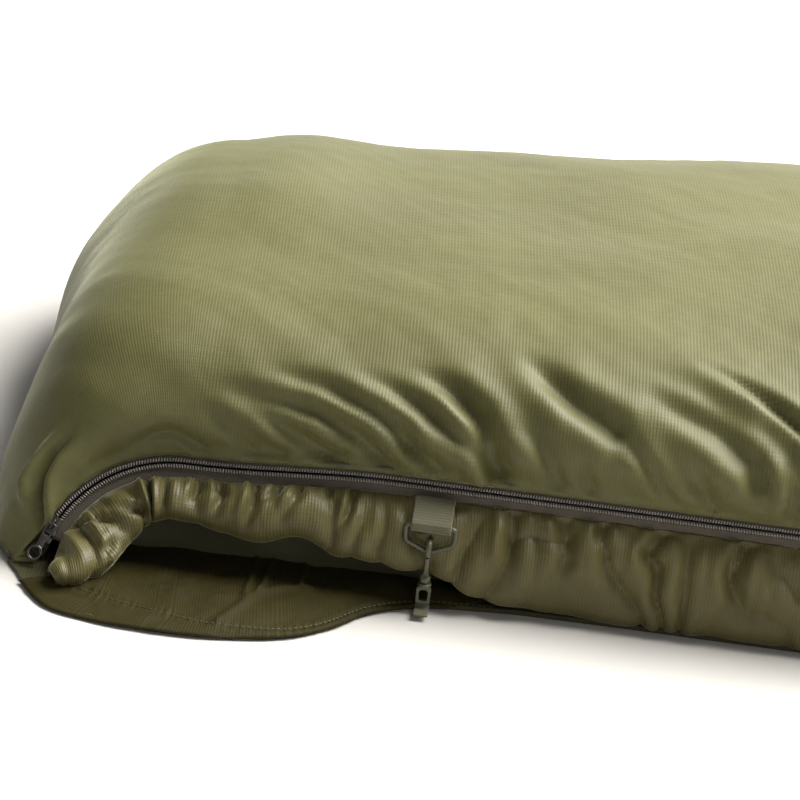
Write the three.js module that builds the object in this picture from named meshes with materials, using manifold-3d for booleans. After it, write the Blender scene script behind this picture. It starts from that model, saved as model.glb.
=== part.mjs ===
// Padded bivy sack with a side zip, a ring tab with a snap hook, and an open hood.
// Millimetres, +Z up. +X runs from the foot to the hood, the zip is on the -Y side,
// and the origin is on the underside, half way along the sack.
import * as THREE from "three";
import { mergeVertices } from "three/addons/utils/BufferGeometryUtils.js";
import Module from "manifold-3d";

// ---- driving dimensions ----
const LENGTH = 2200; // foot wall to the crown of the hood
const FOOT_X = -LENGTH / 2;
const FOOT_SEAM_X = FOOT_X + 12; // the foot's wall swells out past its seam with the floor
const HEAD_X = LENGTH / 2;
const MOUTH_X = 740; // where the top quilt ends and the hood begins
const FOOT_HALF_WIDTH = 262;
const TAPER = THREE.MathUtils.degToRad(3.4); // each side widens by this towards the head
const FOOT_CREST = 172; // height of the top quilt near the foot
const CHEST_CREST = 220;
const MOUTH_CREST = 130;
const END_ROUNDING = 118; // length over which the foot end rounds down to the floor
const FAR_CORNER = 110; // plan radius of the far foot corner
const FAR_FULLNESS = 7.5; // the far side stands out as far as the zip side's wall swells
const SECTION_POWER = 2.7; // superellipse power of the quilt's cross section

const SHEET = 3; // thickness of the ground sheet as drawn
const GAP = 0.3; // between pieces that touch
const BASE_TOP = SHEET + GAP;
const SKIN = 2; // outer fabric
const SKIN_OUT = 0.7; // the inside of the outer fabric, out from the zip's plane
const FILL = 17.7; // insulation thickness
const LINING = 1.6;

const ZIP_Z = 78; // height of the straight zip
const ZIP_DIP = 8; // it sinks by this where it starts to turn down
const ZIP_TURN_RADIUS = 85; // the zip turns down to the floor at the foot
const ZIP_TURN = THREE.MathUtils.degToRad(70);
const ZIP_TURN_X = -981; // where that turn starts
const ZIP_LEAN = THREE.MathUtils.degToRad(27); // the foot corner leans out at the bottom
const ZIP_TWIST = 130; // length over which the lean fades out
const ZIP_HEAD_X = 716;
const TOP_EDGE = 6; // the top quilt's near edge, above the zip's middle
const WALL_EDGE = -9; // the side wall's top edge, below it
const TAPE_THICK = 0.8;
const COIL_WIDTH = 3;
const COIL_RISE = 2.2;
const COIL_GAP = 1.4; // between the two coils, where the slider's web runs

const TAB_X = -825;
const TAB_WIDTH = 25;
const TAB_STAND = 23; // the ring hangs this far out from the zip's plane
const RING_WIRE = 3.2;

// ---- materials ----
const paint = (color, roughness, metalness) => new THREE.MeshStandardMaterial({ color, roughness, metalness });
const shellFabric = paint(0x6b6b3c, 0.45, 0);
const liningFabric = paint(0x4c4b2c, 0.6, 0);
const wadding = paint(0xd8d6c8, 0.95, 0);
const groundFabric = paint(0x45442a, 0.5, 0);
const tapeFabric = paint(0x4a4234, 0.85, 0);
const coilNylon = paint(0x2c2622, 0.45, 0);
const zincAlloy = paint(0x3a3633, 0.35, 0.85);
const webbingNylon = paint(0x5a5836, 0.8, 0);
const acetal = paint(0x4b4d33, 0.4, 0);
const brassed = paint(0x5b5446, 0.35, 0.9);

const sack = new THREE.Group();

function add(parent, name, geometry, material) {
  const mesh = new THREE.Mesh(geometry, material);
  mesh.name = name;
  parent.add(mesh);
  return mesh;
}

// ---- plan and heights ----
const halfWidth = (x) => FOOT_HALF_WIDTH + (x - FOOT_X) * Math.tan(TAPER);
const smooth = (t) => THREE.MathUtils.smoothstep(t, 0, 1);

function crest(x) {
  const rise = smooth((x - FOOT_X) / 900);
  const fall = smooth(x / MOUTH_X);
  return FOOT_CREST + (CHEST_CREST - FOOT_CREST) * rise - (CHEST_CREST - MOUTH_CREST) * fall;
}

function farHalfWidth(x) {
  const into = Math.max(0, FOOT_SEAM_X + FAR_CORNER - x);
  return halfWidth(x) + FAR_FULLNESS - (FAR_CORNER - Math.sqrt(FAR_CORNER ** 2 - into ** 2));
}

// ---- the zip's path ----
const along = new THREE.Vector3(Math.cos(TAPER), -Math.sin(TAPER), 0);
const wallOut = new THREE.Vector3(-Math.sin(TAPER), -Math.cos(TAPER), 0);
const turnDown = new THREE.Vector3(0, -Math.sin(ZIP_LEAN), -Math.cos(ZIP_LEAN));
turnDown.addScaledVector(along, -turnDown.dot(along)).normalize();
const turnOut = new THREE.Vector3().crossVectors(turnDown, along).negate().normalize();
const turnStart = new THREE.Vector3(ZIP_TURN_X, -halfWidth(ZIP_TURN_X), ZIP_Z - ZIP_DIP);
const turnCentre = turnStart.clone().addScaledVector(turnDown, ZIP_TURN_RADIUS);
if (turnOut.y > 0) turnOut.negate();

// A place on the zip, s millimetres from the start of its turn: below 0 it is on the turn.
function zipPlace(s) {
  if (s >= 0) {
    const out = turnOut.clone().lerp(wallOut, smooth(s / ZIP_TWIST)).normalize();
    const point = turnStart.clone().addScaledVector(along, s);
    point.z += ZIP_DIP * smooth(s / ZIP_TWIST);
    return { point, out, ahead: along.clone(), up: out.clone().cross(along).normalize() };
  }
  const angle = -s / ZIP_TURN_RADIUS;
  const point = turnCentre
    .clone()
    .addScaledVector(turnDown, -ZIP_TURN_RADIUS * Math.cos(angle))
    .addScaledVector(along, -ZIP_TURN_RADIUS * Math.sin(angle));
  const ahead = along.clone().multiplyScalar(Math.cos(angle)).addScaledVector(turnDown, -Math.sin(angle));
  return { point, out: turnOut.clone(), ahead, up: turnOut.clone().cross(ahead).normalize() };
}

const zipAt = (x) => (x - ZIP_TURN_X) / Math.cos(TAPER);
const ZIP_START = -ZIP_TURN_RADIUS * ZIP_TURN;
const ZIP_END = zipAt(ZIP_HEAD_X);
const TURN_STEPS = 9;
const TWIST_STEPS = 4;

// Stations along the zip: close on the turn, spreading out along the straight.
function stations(first, last, straightSteps) {
  const list = [];
  for (let i = 0; i < TURN_STEPS; i++) list.push(ZIP_START * (1 - i / TURN_STEPS));
  for (let i = 0; i < TWIST_STEPS; i++) list.push((ZIP_TWIST * i) / TWIST_STEPS);
  for (let i = 0; i < straightSteps; i++) list.push(ZIP_TWIST + ((last - ZIP_TWIST) * i) / straightSteps);
  return [first, ...list.filter((s) => s > first + 1 && s < last - 1), last];
}

// ---- boolean joins ----
const wasm = await Module();
wasm.setup();

function solid(geometry) {
  const plain = geometry.index ? geometry.toNonIndexed() : geometry.clone();
  plain.deleteAttribute("normal");
  plain.deleteAttribute("uv");
  const merged = mergeVertices(plain, 1e-3);
  return new wasm.Manifold(
    new wasm.Mesh({
      numProp: 3,
      vertProperties: merged.attributes.position.array,
      triVerts: new Uint32Array(merged.index.array),
    }),
  );
}

function geometryOf(manifold) {
  const mesh = manifold.getMesh();
  return closed(mesh.vertProperties, new THREE.BufferAttribute(mesh.triVerts, 1));
}

const joined = (...shapes) => geometryOf(shapes.map(solid).reduce((a, b) => a.add(b)));
const cut = (body, ...tools) => geometryOf(tools.map(solid).reduce((a, b) => a.subtract(b), solid(body)));
const box = (x0, x1, y0, y1, z0, z1) =>
  new THREE.BoxGeometry(x1 - x0, y1 - y0, z1 - z0).translate((x0 + x1) / 2, (y0 + y1) / 2, (z0 + z1) / 2);

// ---- closed solids from grids and sections ----
function closed(positions, index) {
  const geometry = new THREE.BufferGeometry();
  geometry.setAttribute("position", new THREE.BufferAttribute(new Float32Array(positions), 3));
  geometry.setIndex(index);
  return geometry;
}

// The solid between two grids of points with the same rows and columns. The first grid faces out.
function between(outer, inner) {
  const rows = outer.length;
  const columns = outer[0].length;
  const positions = [];
  for (const grid of [outer, inner]) for (const row of grid) for (const p of row) positions.push(p.x, p.y, p.z);
  const at = (side, i, j) => (side * rows + i) * columns + j;
  const index = [];
  const quad = (a, b, c, d) => index.push(a, b, c, a, c, d);
  for (let i = 0; i < rows - 1; i++)
    for (let j = 0; j < columns - 1; j++) {
      quad(at(0, i, j), at(0, i + 1, j), at(0, i + 1, j + 1), at(0, i, j + 1));
      quad(at(1, i, j), at(1, i, j + 1), at(1, i + 1, j + 1), at(1, i + 1, j));
    }
  for (let i = 0; i < rows - 1; i++) {
    quad(at(1, i, 0), at(1, i + 1, 0), at(0, i + 1, 0), at(0, i, 0));
    quad(at(0, i, columns - 1), at(0, i + 1, columns - 1), at(1, i + 1, columns - 1), at(1, i, columns - 1));
  }
  for (let j = 0; j < columns - 1; j++) {
    quad(at(0, 0, j), at(0, 0, j + 1), at(1, 0, j + 1), at(1, 0, j));
    quad(at(1, rows - 1, j), at(1, rows - 1, j + 1), at(0, rows - 1, j + 1), at(0, rows - 1, j));
  }
  return closed(positions, index);
}

// Vertex normals of a grid, level along the two long edges and the first row.
function gridNormals(grid) {
  const rows = grid.length;
  const columns = grid[0].length;
  const positions = grid.flat().flatMap((p) => [p.x, p.y, p.z]);
  const index = [];
  for (let i = 0; i < rows - 1; i++)
    for (let j = 0; j < columns - 1; j++) {
      const a = i * columns + j;
      index.push(a, a + columns, a + columns + 1, a, a + columns + 1, a + 1);
    }
  const geometry = closed(positions, index);
  geometry.computeVertexNormals();
  const n = geometry.getAttribute("normal");
  return grid.map((row, i) =>
    row.map((_, j) => {
      const normal = new THREE.Vector3().fromBufferAttribute(n, i * columns + j);
      if (j === 0 || j === columns - 1 || i === 0) normal.z = 0;
      if (i === rows - 1) normal.x = 0;
      return normal.normalize();
    }),
  );
}

const offset = (grid, normals, d) => grid.map((row, i) => row.map((p, j) => p.clone().addScaledVector(normals[i][j], d)));

// Skin, fill and lining of one quilt: three nested solids on the same grid.
// The fill is cleared where a slider's inner plate runs behind the zip.
function quilt(name, grid, material) {
  const normals = gridNormals(grid);
  const layer = (from, to) => between(offset(grid, normals, to), offset(grid, normals, from));
  add(sack, name + "_shell", layer(SKIN_OUT, SKIN_OUT + SKIN), material);
  const sliderWay = zipStrip(stations(ZIP_START - 6, ZIP_END + 6, 3), -6, 6, -3.4, 1);
  add(sack, name + "_fill", cut(layer(-FILL - 0.8, -0.8), sliderWay), wadding);
  add(sack, name + "_lining", layer(-FILL - LINING - 1.1, -FILL - 1.1), liningFabric);
}

// A strip of rectangular section swept along the zip through a list of stations.
function zipStrip(places, up0, up1, out0, out1) {
  const rows = [[], []];
  for (const s of places) {
    const { point, out, up } = zipPlace(s);
    const corner = (u, o) => point.clone().addScaledVector(up, u).addScaledVector(out, o);
    rows[0].push([corner(up0, out1), corner(up1, out1)]);
    rows[1].push([corner(up0, out0), corner(up1, out0)]);
  }
  return between(rows[0], rows[1]);
}

// A round bar swept along a list of points, closed at both ends or in a loop.
function bar(points, radius, sides, loop = false) {
  const count = points.length;
  const positions = [];
  const index = [];
  const side = new THREE.Vector3();
  for (let i = 0; i < count; i++) {
    const before = points[loop ? (i + count - 1) % count : Math.max(0, i - 1)];
    const after = points[loop ? (i + 1) % count : Math.min(count - 1, i + 1)];
    const ahead = after.clone().sub(before).normalize();
    if (i === 0) side.set(-ahead.z, 0.05, ahead.x);
    side.addScaledVector(ahead, -side.dot(ahead)).normalize();
    const other = ahead.clone().cross(side);
    for (let k = 0; k < sides; k++) {
      const a = (2 * Math.PI * k) / sides;
      const p = points[i].clone();
      p.addScaledVector(side, radius * Math.cos(a)).addScaledVector(other, radius * Math.sin(a));
      positions.push(p.x, p.y, p.z);
    }
  }
  for (let i = 0; i < (loop ? count : count - 1); i++)
    for (let k = 0; k < sides; k++) {
      const a = i * sides + k;
      const b = i * sides + ((k + 1) % sides);
      const c = ((i + 1) % count) * sides + k;
      const d = ((i + 1) % count) * sides + ((k + 1) % sides);
      index.push(a, b, d, a, d, c);
    }
  if (!loop)
    for (let k = 1; k < sides - 1; k++) {
      const last = (count - 1) * sides;
      index.push(0, k + 1, k, last, last + k, last + k + 1);
    }
  return closed(positions, index);
}

const slab = (points, z0, z1) => {
  const shape = new THREE.Shape(points);
  return new THREE.ExtrudeGeometry(shape, { depth: z1 - z0, bevelEnabled: false }).translate(0, 0, z0);
};

// ---- top quilt ----
const LONG_ROWS = 9;
const COLUMNS = 18;

// One row of the top quilt, from its near edge over the crest to the far base seam.
function topRow(x, farX, height, near) {
  const far = new THREE.Vector3(farX, farHalfWidth(farX), BASE_TOP);
  const row = [];
  for (let j = 0; j <= COLUMNS; j++) {
    const angle = (j / COLUMNS - 0.5) * Math.PI;
    const sideways = Math.abs(Math.sin(angle)) ** (2 / SECTION_POWER);
    const upwards = Math.abs(Math.cos(angle)) ** (2 / SECTION_POWER);
    const edge = angle < 0 ? near : far;
    const z = edge.z + (height - edge.z) * upwards;
    row.push(new THREE.Vector3(x + (edge.x - x) * sideways ** 6, edge.y * sideways, z));
  }
  return row;
}

const footCorner = new THREE.Vector3(-1083, -298, BASE_TOP);
const topGrid = [topRow(FOOT_SEAM_X, FOOT_SEAM_X, BASE_TOP, footCorner)];
for (const s of stations(ZIP_START, zipAt(MOUTH_X), LONG_ROWS)) {
  const { point, up } = zipPlace(s);
  const angle = Math.max(0, (s / ZIP_START) * (TURN_STEPS / (TURN_STEPS + 1))) * (Math.PI / 2);
  const rounded = 1 - Math.sin(angle) ** (2 / SECTION_POWER);
  const x = s > 0 ? point.x : FOOT_X + END_ROUNDING * rounded;
  const farX = s > 0 ? point.x : FOOT_SEAM_X + (FOOT_X + END_ROUNDING - FOOT_SEAM_X) * rounded;
  const height = BASE_TOP + (crest(x) - BASE_TOP) * Math.cos(angle) ** (2 / SECTION_POWER);
  topGrid.push(topRow(x, farX, height, point.addScaledVector(up, TOP_EDGE)));
}
quilt("top_quilt", topGrid, shellFabric);

// ---- zip side wall ----
const WALL_BULGE = 8;
const WALL_COLUMNS = 5;
const WALL_START = -ZIP_TURN_RADIUS * THREE.MathUtils.degToRad(50);
function wallRow(s) {
  const { point, out, up } = zipPlace(s);
  const top = point.addScaledVector(up, WALL_EDGE);
  const slope = new THREE.Vector3(out.x, out.y, 0).normalize().multiplyScalar(Math.max(0, out.z));
  const foot = top.clone().addScaledVector(slope, top.z - BASE_TOP);
  foot.z = BASE_TOP;
  const height = top.z - BASE_TOP;
  const row = [];
  for (let j = 0; j <= WALL_COLUMNS; j++) {
    const k = j / WALL_COLUMNS;
    const swell = WALL_BULGE * Math.min(1, height / 60) * Math.sin(Math.PI * k);
    row.push(foot.clone().lerp(top, k).addScaledVector(wallOut, swell));
  }
  return row;
}
quilt("side_wall_foot", stations(WALL_START, ZIP_TWIST, 1).map(wallRow), shellFabric);
quilt("side_wall", stations(ZIP_TWIST + GAP, zipAt(MOUTH_X), 6).map(wallRow), shellFabric);

// ---- floor ----
const HOOD_POWER = 2.4;
const HOOD_START = MOUTH_X + 10;
// The hood's plan curve: turn 0 is the zip side, 1 is the far side.
function hoodPlan(turn, inset = 0) {
  const a = (turn - 0.5) * Math.PI;
  const side = a < 0 ? halfWidth(MOUTH_X) : farHalfWidth(MOUTH_X);
  const x = HOOD_START + (HEAD_X - inset - HOOD_START) * Math.abs(Math.cos(a)) ** (2 / HOOD_POWER);
  const y = Math.sign(a) * (side - inset) * Math.abs(Math.sin(a)) ** (2 / HOOD_POWER);
  return new THREE.Vector2(x, y);
}

const HOOD_STEPS = 18;
function floorOutline(inset) {
  const points = [];
  for (let i = 0; i <= 3; i++) {
    const x = FOOT_SEAM_X + inset + (FAR_CORNER - inset) * (1 - Math.cos((i / 3) * (Math.PI / 2)));
    points.push(new THREE.Vector2(x, farHalfWidth(Math.max(x, FOOT_SEAM_X)) - inset));
  }
  points.reverse();
  points.push(new THREE.Vector2(FOOT_SEAM_X + inset, -halfWidth(FOOT_X) + 2 * inset));
  points.push(new THREE.Vector2(footCorner.x + inset, footCorner.y + 2.6 * inset));
  points.push(new THREE.Vector2(ZIP_TURN_X + inset, -halfWidth(ZIP_TURN_X) - 30 + 2.4 * inset));
  points.push(new THREE.Vector2(TAB_X, -halfWidth(TAB_X) - 2 + inset));
  for (let i = 0; i <= HOOD_STEPS; i++) points.push(hoodPlan(i / HOOD_STEPS, inset));
  return points;
}

// The slack of the side wall spreads over the floor in front of the foot.
const flapEdge = new THREE.SplineCurve([
  new THREE.Vector2(-1084, -300),
  new THREE.Vector2(-1060, -345),
  new THREE.Vector2(-1003, -368),
  new THREE.Vector2(-953, -366),
  new THREE.Vector2(-895, -342),
  new THREE.Vector2(-857, -308),
  new THREE.Vector2(-837, -290),
]).getPoints(20);
const sheetOutline = floorOutline(-2);
const cornerAt = sheetOutline.findIndex((p) => Math.abs(p.x - (footCorner.x - 2)) < 1e-6);
sheetOutline.splice(cornerAt, 2, ...flapEdge);
add(sack, "ground_sheet", slab(sheetOutline, 0, SHEET), groundFabric);

const WALL_THICK = FILL + LINING + 2;
add(sack, "base_fill", slab(floorOutline(WALL_THICK + 14), BASE_TOP, BASE_TOP + 14), wadding);
add(sack, "base_lining", slab(floorOutline(WALL_THICK + 14), BASE_TOP + 14 + GAP, BASE_TOP + 15.5), liningFabric);

const FLAP_RISE = 9;
const flapInner = [];
for (let i = 0; i <= 8; i++) {
  const x = -863 + ((-1039 + 863) * i) / 8;
  const lean = 30 * smooth((TAB_X - x) / 150);
  flapInner.push(new THREE.Vector2(x, -halfWidth(x) - lean - 14));
}
const flapMiddle = new THREE.Vector2(-951, -300);
const flapInset = (p, share) => flapMiddle.clone().lerp(p, share);
const flapOuter = flapEdge.slice(3, -2).map((p) => flapInset(p, 0.9));
add(sack, "side_flap", slab([...flapOuter, ...flapInner], BASE_TOP, BASE_TOP + FLAP_RISE), shellFabric);
const SEAM_RADIUS = 2.2;
const seamLine = flapEdge.slice(1, -1).map((p) => flapInset(p, 0.96));
const seamPoints = seamLine.map((p) => new THREE.Vector3(p.x, p.y, BASE_TOP + SEAM_RADIUS));
add(sack, "flap_seam", bar(seamPoints, SEAM_RADIUS, 6), tapeFabric);

// ---- zip ----
const COIL_MIDDLE = COIL_GAP / 2 + COIL_WIDTH / 2;
const zipStations = stations(ZIP_START, ZIP_END, 3);
const zipSide = (sign, inner, outer, out0, out1) =>
  zipStrip(zipStations, ...(sign > 0 ? [inner, outer] : [-outer, -inner]), out0, out1);
for (const [name, sign, edge] of [["upper", 1, TOP_EDGE], ["lower", -1, -WALL_EDGE]]) {
  add(sack, "zip_tape_" + name, zipSide(sign, COIL_GAP / 2, edge - GAP, -TAPE_THICK / 2, TAPE_THICK / 2), tapeFabric);
  const rise = TAPE_THICK / 2 + GAP;
  add(sack, "zip_coil_" + name, zipSide(sign, COIL_GAP / 2, COIL_GAP / 2 + COIL_WIDTH, rise, rise + COIL_RISE), coilNylon);
}
const HEAD_STOP = 5;
for (const [name, sign] of [["upper", 1], ["lower", -1]]) {
  const span = sign > 0 ? [COIL_GAP / 2, 4.2] : [-4.2, -COIL_GAP / 2];
  add(sack, "zip_stop_" + name, zipStrip([ZIP_END + GAP, ZIP_END + HEAD_STOP], ...span, 0.7, 3.4), zincAlloy);
}
add(sack, "zip_end_box", zipStrip([ZIP_START - 4.5, ZIP_START - GAP], -4.2, 4.2, 0.3, 3.4), zincAlloy);

// Draft tube behind the zip, inside the lining.
const tubePoints = [];
for (let i = 0; i <= 16; i++) {
  const { point } = zipPlace(zipAt(-930) + ((zipAt(560) - zipAt(-930)) * i) / 16);
  tubePoints.push(point.addScaledVector(wallOut, -FILL - LINING - 18).setZ(ZIP_Z - 6));
}
add(sack, "draft_tube", bar(tubePoints, 9, 8), liningFabric);

// ---- hood ----
const HOOD_HEIGHT = 112;
const hoodGrid = [];
for (let i = 0; i <= HOOD_STEPS; i++) {
  const p = hoodPlan(i / HOOD_STEPS);
  const rise = HOOD_HEIGHT + 14 * Math.sin((Math.PI * i) / HOOD_STEPS);
  const row = [];
  for (let j = 0; j <= 4; j++) {
    const k = j / 4;
    const lean = 1 - 0.05 * k * k;
    row.push(new THREE.Vector3(HOOD_START + (p.x - HOOD_START) * lean, p.y * lean, BASE_TOP + (rise - BASE_TOP) * k));
  }
  hoodGrid.push(row);
}
const hoodNormals = gridNormals(hoodGrid).map((row) => row.map((n) => n.setZ(0).normalize()));
for (const row of [hoodNormals[0], hoodNormals[HOOD_STEPS]]) for (const n of row) n.set(0, Math.sign(n.y), 0);
const hoodLayer = (from, to) => between(offset(hoodGrid, hoodNormals, to), offset(hoodGrid, hoodNormals, from));
add(sack, "hood_shell", hoodLayer(SKIN_OUT, SKIN_OUT + SKIN), shellFabric);
add(sack, "hood_fill", hoodLayer(-FILL - 0.8, -0.8), wadding);
add(sack, "hood_lining", hoodLayer(-FILL - LINING - 1.1, -FILL - 1.1), liningFabric);

const HEM_RADIUS = 7;
const hemPoints = hoodGrid.map((row, i) =>
  row[4].clone().addScaledVector(hoodNormals[i][4], -9).add(new THREE.Vector3(0, 0, HEM_RADIUS + 0.6)),
);
add(sack, "hood_hem", bar(hemPoints, HEM_RADIUS, 8), groundFabric);

// Binding round the open end of the top quilt.
const mouthRow = topGrid[topGrid.length - 1];
const MOUTH_HEM = 4;
const mouthPoints = mouthRow.slice(1, -1).map((p) => {
  const inwards = new THREE.Vector3(0, -p.y, BASE_TOP - p.z).normalize();
  return p.clone().addScaledVector(inwards, 9).setX(MOUTH_X + MOUTH_HEM + GAP);
});
add(sack, "mouth_binding", bar(mouthPoints, MOUTH_HEM, 6), groundFabric);

// Drawcord eyelets near both ends of the hood's hem.
const EYELET_RADIUS = 5.5;
const eyelet = new THREE.LatheGeometry(
  [
    [2.6, 0],
    [EYELET_RADIUS, 0],
    [EYELET_RADIUS - 0.6, 1.1],
    [3.2, 1.3],
    [2.6, 0],
  ].map(([r, z]) => new THREE.Vector2(r, z)),
  14,
);
for (const [name, i] of [["eyelet_zip_side", 1], ["eyelet_far_side", HOOD_STEPS - 1]]) {
  const at = hemPoints[i];
  const mesh = add(sack, name, eyelet, brassed);
  const outward = hoodNormals[i][4];
  mesh.position.copy(at).addScaledVector(outward, HEM_RADIUS + GAP);
  mesh.quaternion.setFromUnitVectors(new THREE.Vector3(0, 1, 0), outward);
}

// ---- sliders ----
// Drawn with the zip along local x, up the wall along local y and out along local z.
function sliderGroup(s, flip) {
  const { point, out, ahead } = zipPlace(s);
  const x = ahead.clone().multiplyScalar(flip);
  const y = out.clone().cross(x);
  const group = new THREE.Group();
  group.quaternion.setFromRotationMatrix(new THREE.Matrix4().makeBasis(x, y, out));
  group.position.copy(point);
  return group;
}

const SLIDER_LENGTH = 12;
const PLATE = 1.2;
const TOP_PLATE = TAPE_THICK / 2 + GAP + COIL_RISE + 0.5; // underside of the outer plate
const BAIL_RISE = 2.6;

function sliderBody() {
  const half = SLIDER_LENGTH / 2;
  const plate = new THREE.Shape();
  plate.moveTo(-half, -3.4);
  plate.lineTo(half - 5, -3.6);
  plate.quadraticCurveTo(half, -5.4, half, -4);
  plate.lineTo(half, 4);
  plate.quadraticCurveTo(half, 5.4, half - 5, 3.6);
  plate.lineTo(-half, 3.4);
  plate.closePath();
  const outer = new THREE.ExtrudeGeometry(plate, { depth: PLATE, bevelEnabled: false, curveSegments: 4 });
  outer.translate(0, 0, TOP_PLATE);
  const inner = outer.clone().translate(0, 0, -TOP_PLATE - PLATE - 0.9);
  const web = box(1, half - 1, -0.35, 0.35, -1.5, TOP_PLATE + 0.5);
  const z = TOP_PLATE + PLATE;
  const legs = [box(-4.5, -3.2, -1.1, 1.1, z - 0.4, z + BAIL_RISE + 1), box(1.6, 2.9, -1.1, 1.1, z - 0.4, z + BAIL_RISE + 1)];
  const bridge = box(-4.5, 2.9, -1.1, 1.1, z + BAIL_RISE, z + BAIL_RISE + 1);
  return joined(outer, inner, web, ...legs, bridge);
}

// The pull's square cross bar turns in the bail about local y, and its blade lies along +x.
const PULL_LENGTH = 27;
const PULL_THICK = 1.4;
const PULL_PLACE = new THREE.Vector3(-0.6, 0, TOP_PLATE + PLATE + BAIL_RISE / 2);
function pullTab() {
  const blade = new THREE.Shape();
  blade.moveTo(-PULL_THICK / 2, -3.2);
  blade.lineTo(6, -3.4);
  blade.quadraticCurveTo(12, -2, 17, -4.2);
  blade.absarc(PULL_LENGTH - 6, 0, 5, -Math.PI / 2.6, Math.PI / 2.6, false);
  blade.lineTo(17, 4.2);
  blade.quadraticCurveTo(12, 2, 6, 3.4);
  blade.lineTo(-PULL_THICK / 2, 3.2);
  blade.closePath();
  blade.holes.push(new THREE.Path().absellipse(PULL_LENGTH - 6.5, 0, 3.6, 2.6, 0, 2 * Math.PI, true));
  const window = new THREE.Path();
  window.moveTo(PULL_THICK / 2, -1.7);
  window.lineTo(PULL_THICK / 2, 1.7);
  window.lineTo(8, 1.7);
  window.lineTo(8, -1.7);
  window.closePath();
  blade.holes.push(window);
  const shape = new THREE.ExtrudeGeometry(blade, { depth: PULL_THICK, bevelEnabled: false, curveSegments: 8 });
  return shape.translate(0, 0, -PULL_THICK / 2);
}

for (const [name, s, flip] of [["foot", ZIP_START + 7, -1], ["head", ZIP_END - 8, 1]]) {
  const group = sliderGroup(s, flip);
  sack.add(group);
  add(group, name + "_slider", sliderBody(), zincAlloy);
  const pull = add(group, name + "_pull", pullTab(), zincAlloy);
  pull.position.copy(PULL_PLACE);
}

// ---- ring tab ----
// Drawn with x along the wall, y into the wall and z up, from a place just outside the wall.
const tabPlace = zipPlace(zipAt(TAB_X));
const hanging = new THREE.Group();
hanging.position.copy(tabPlace.point).addScaledVector(wallOut, TAB_STAND);
hanging.rotation.z = -TAPER;
sack.add(hanging);

const BAR_Z = -18.6; // the ring's straight bar, below the zip
const LOOP_RADIUS = RING_WIRE / 2 + 0.6;
const WEB_THICK = 1.5;
const STRAP_END = { x: 17.4, y: -6.6 }; // where the strap is sewn, into the wall and below the zip
function webbingLoop() {
  // A doubled strap from the zip's lower tape, round the ring's bar and back.
  const anchor = new THREE.Vector2(STRAP_END.x, STRAP_END.y);
  const barCentre = new THREE.Vector2(0, BAR_Z);
  const lean = Math.atan2(anchor.y - barCentre.y, anchor.x - barCentre.x);
  const across = new THREE.Vector2(-Math.sin(lean), Math.cos(lean));
  const upper = anchor.clone().addScaledVector(across, WEB_THICK);
  const lower = anchor.clone().addScaledVector(across, -WEB_THICK);
  const profile = new THREE.Shape();
  profile.moveTo(lower.x, lower.y);
  profile.lineTo(upper.x, upper.y);
  profile.absarc(0, BAR_Z, LOOP_RADIUS + WEB_THICK, lean + Math.PI / 2, lean + 1.5 * Math.PI, false);
  profile.closePath();
  profile.holes.push(new THREE.Path().absarc(0, BAR_Z, LOOP_RADIUS, 0, 2 * Math.PI, true));
  const strap = new THREE.ExtrudeGeometry(profile, { depth: TAB_WIDTH, bevelEnabled: false, curveSegments: 8 });
  strap.rotateX(Math.PI / 2).rotateZ(Math.PI / 2);
  return strap.translate(-TAB_WIDTH / 2, 0, 0);
}
add(hanging, "ring_webbing", webbingLoop(), webbingNylon);

// Ring with a straight bar, short straight sides and a shallow vee below.
const RING_HALF = 15.4;
function ringOutline() {
  const shape = new THREE.Path();
  shape.moveTo(-RING_HALF + 2, 0);
  shape.lineTo(-RING_HALF + 2.6, 0);
  shape.lineTo(RING_HALF - 2.6, 0);
  shape.lineTo(RING_HALF - 2, 0);
  shape.quadraticCurveTo(RING_HALF, 0, RING_HALF, -2);
  shape.lineTo(RING_HALF, -8);
  shape.quadraticCurveTo(RING_HALF, -10.4, RING_HALF - 2, -11.4);
  shape.lineTo(3, -16.4);
  shape.quadraticCurveTo(0, -17.6, -3, -16.4);
  shape.lineTo(-RING_HALF + 2, -11.4);
  shape.quadraticCurveTo(-RING_HALF, -10.4, -RING_HALF, -8);
  shape.lineTo(-RING_HALF, -2);
  shape.quadraticCurveTo(-RING_HALF, 0, -RING_HALF + 2, 0);
  const points = shape.getPoints(4);
  points.pop();
  return points.map((p) => new THREE.Vector3(p.x, 0, BAR_Z + p.y));
}
add(hanging, "d_ring", bar(ringOutline(), RING_WIRE / 2, 8, true), acetal);

// ---- snap hook ----
// Its bow passes round the ring's vee. Drawn with the ring's wire along x at the origin.
const hook = new THREE.Group();
hook.position.set(0, 0, BAR_Z - 17);
hanging.add(hook);
const BOW_HALF = 6; // centreline half width of the bow
const BOW_TOP = 8.5; // centreline top, above the ring's wire
const BOW_LENGTH = 17; // centreline bottom, below it
const HOOK_WIRE = 1.7; // radius
const bowPoint = (y, z) => new THREE.Vector3(0, y, z);
function hookBody() {
  const spine = [];
  for (let i = 0; i <= 3; i++) spine.push(bowPoint(BOW_HALF - (BOW_HALF * i * i) / 9, -BOW_LENGTH + 4 - 4 * (i / 3)));
  spine.reverse();
  spine.push(bowPoint(BOW_HALF, -4));
  for (let i = 0; i <= 8; i++) {
    const a = (i / 8) * Math.PI;
    spine.push(bowPoint(BOW_HALF * Math.cos(a), BOW_TOP - BOW_HALF + BOW_HALF * Math.sin(a)));
  }
  spine.push(bowPoint(-BOW_HALF, BOW_TOP - BOW_HALF - 3));
  const neck = new THREE.CylinderGeometry(3.4, 3, 4, 12).rotateX(Math.PI / 2).translate(0, 0, -BOW_LENGTH - 1);
  return joined(bar(spine, HOOK_WIRE, 8), neck);
}
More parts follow.
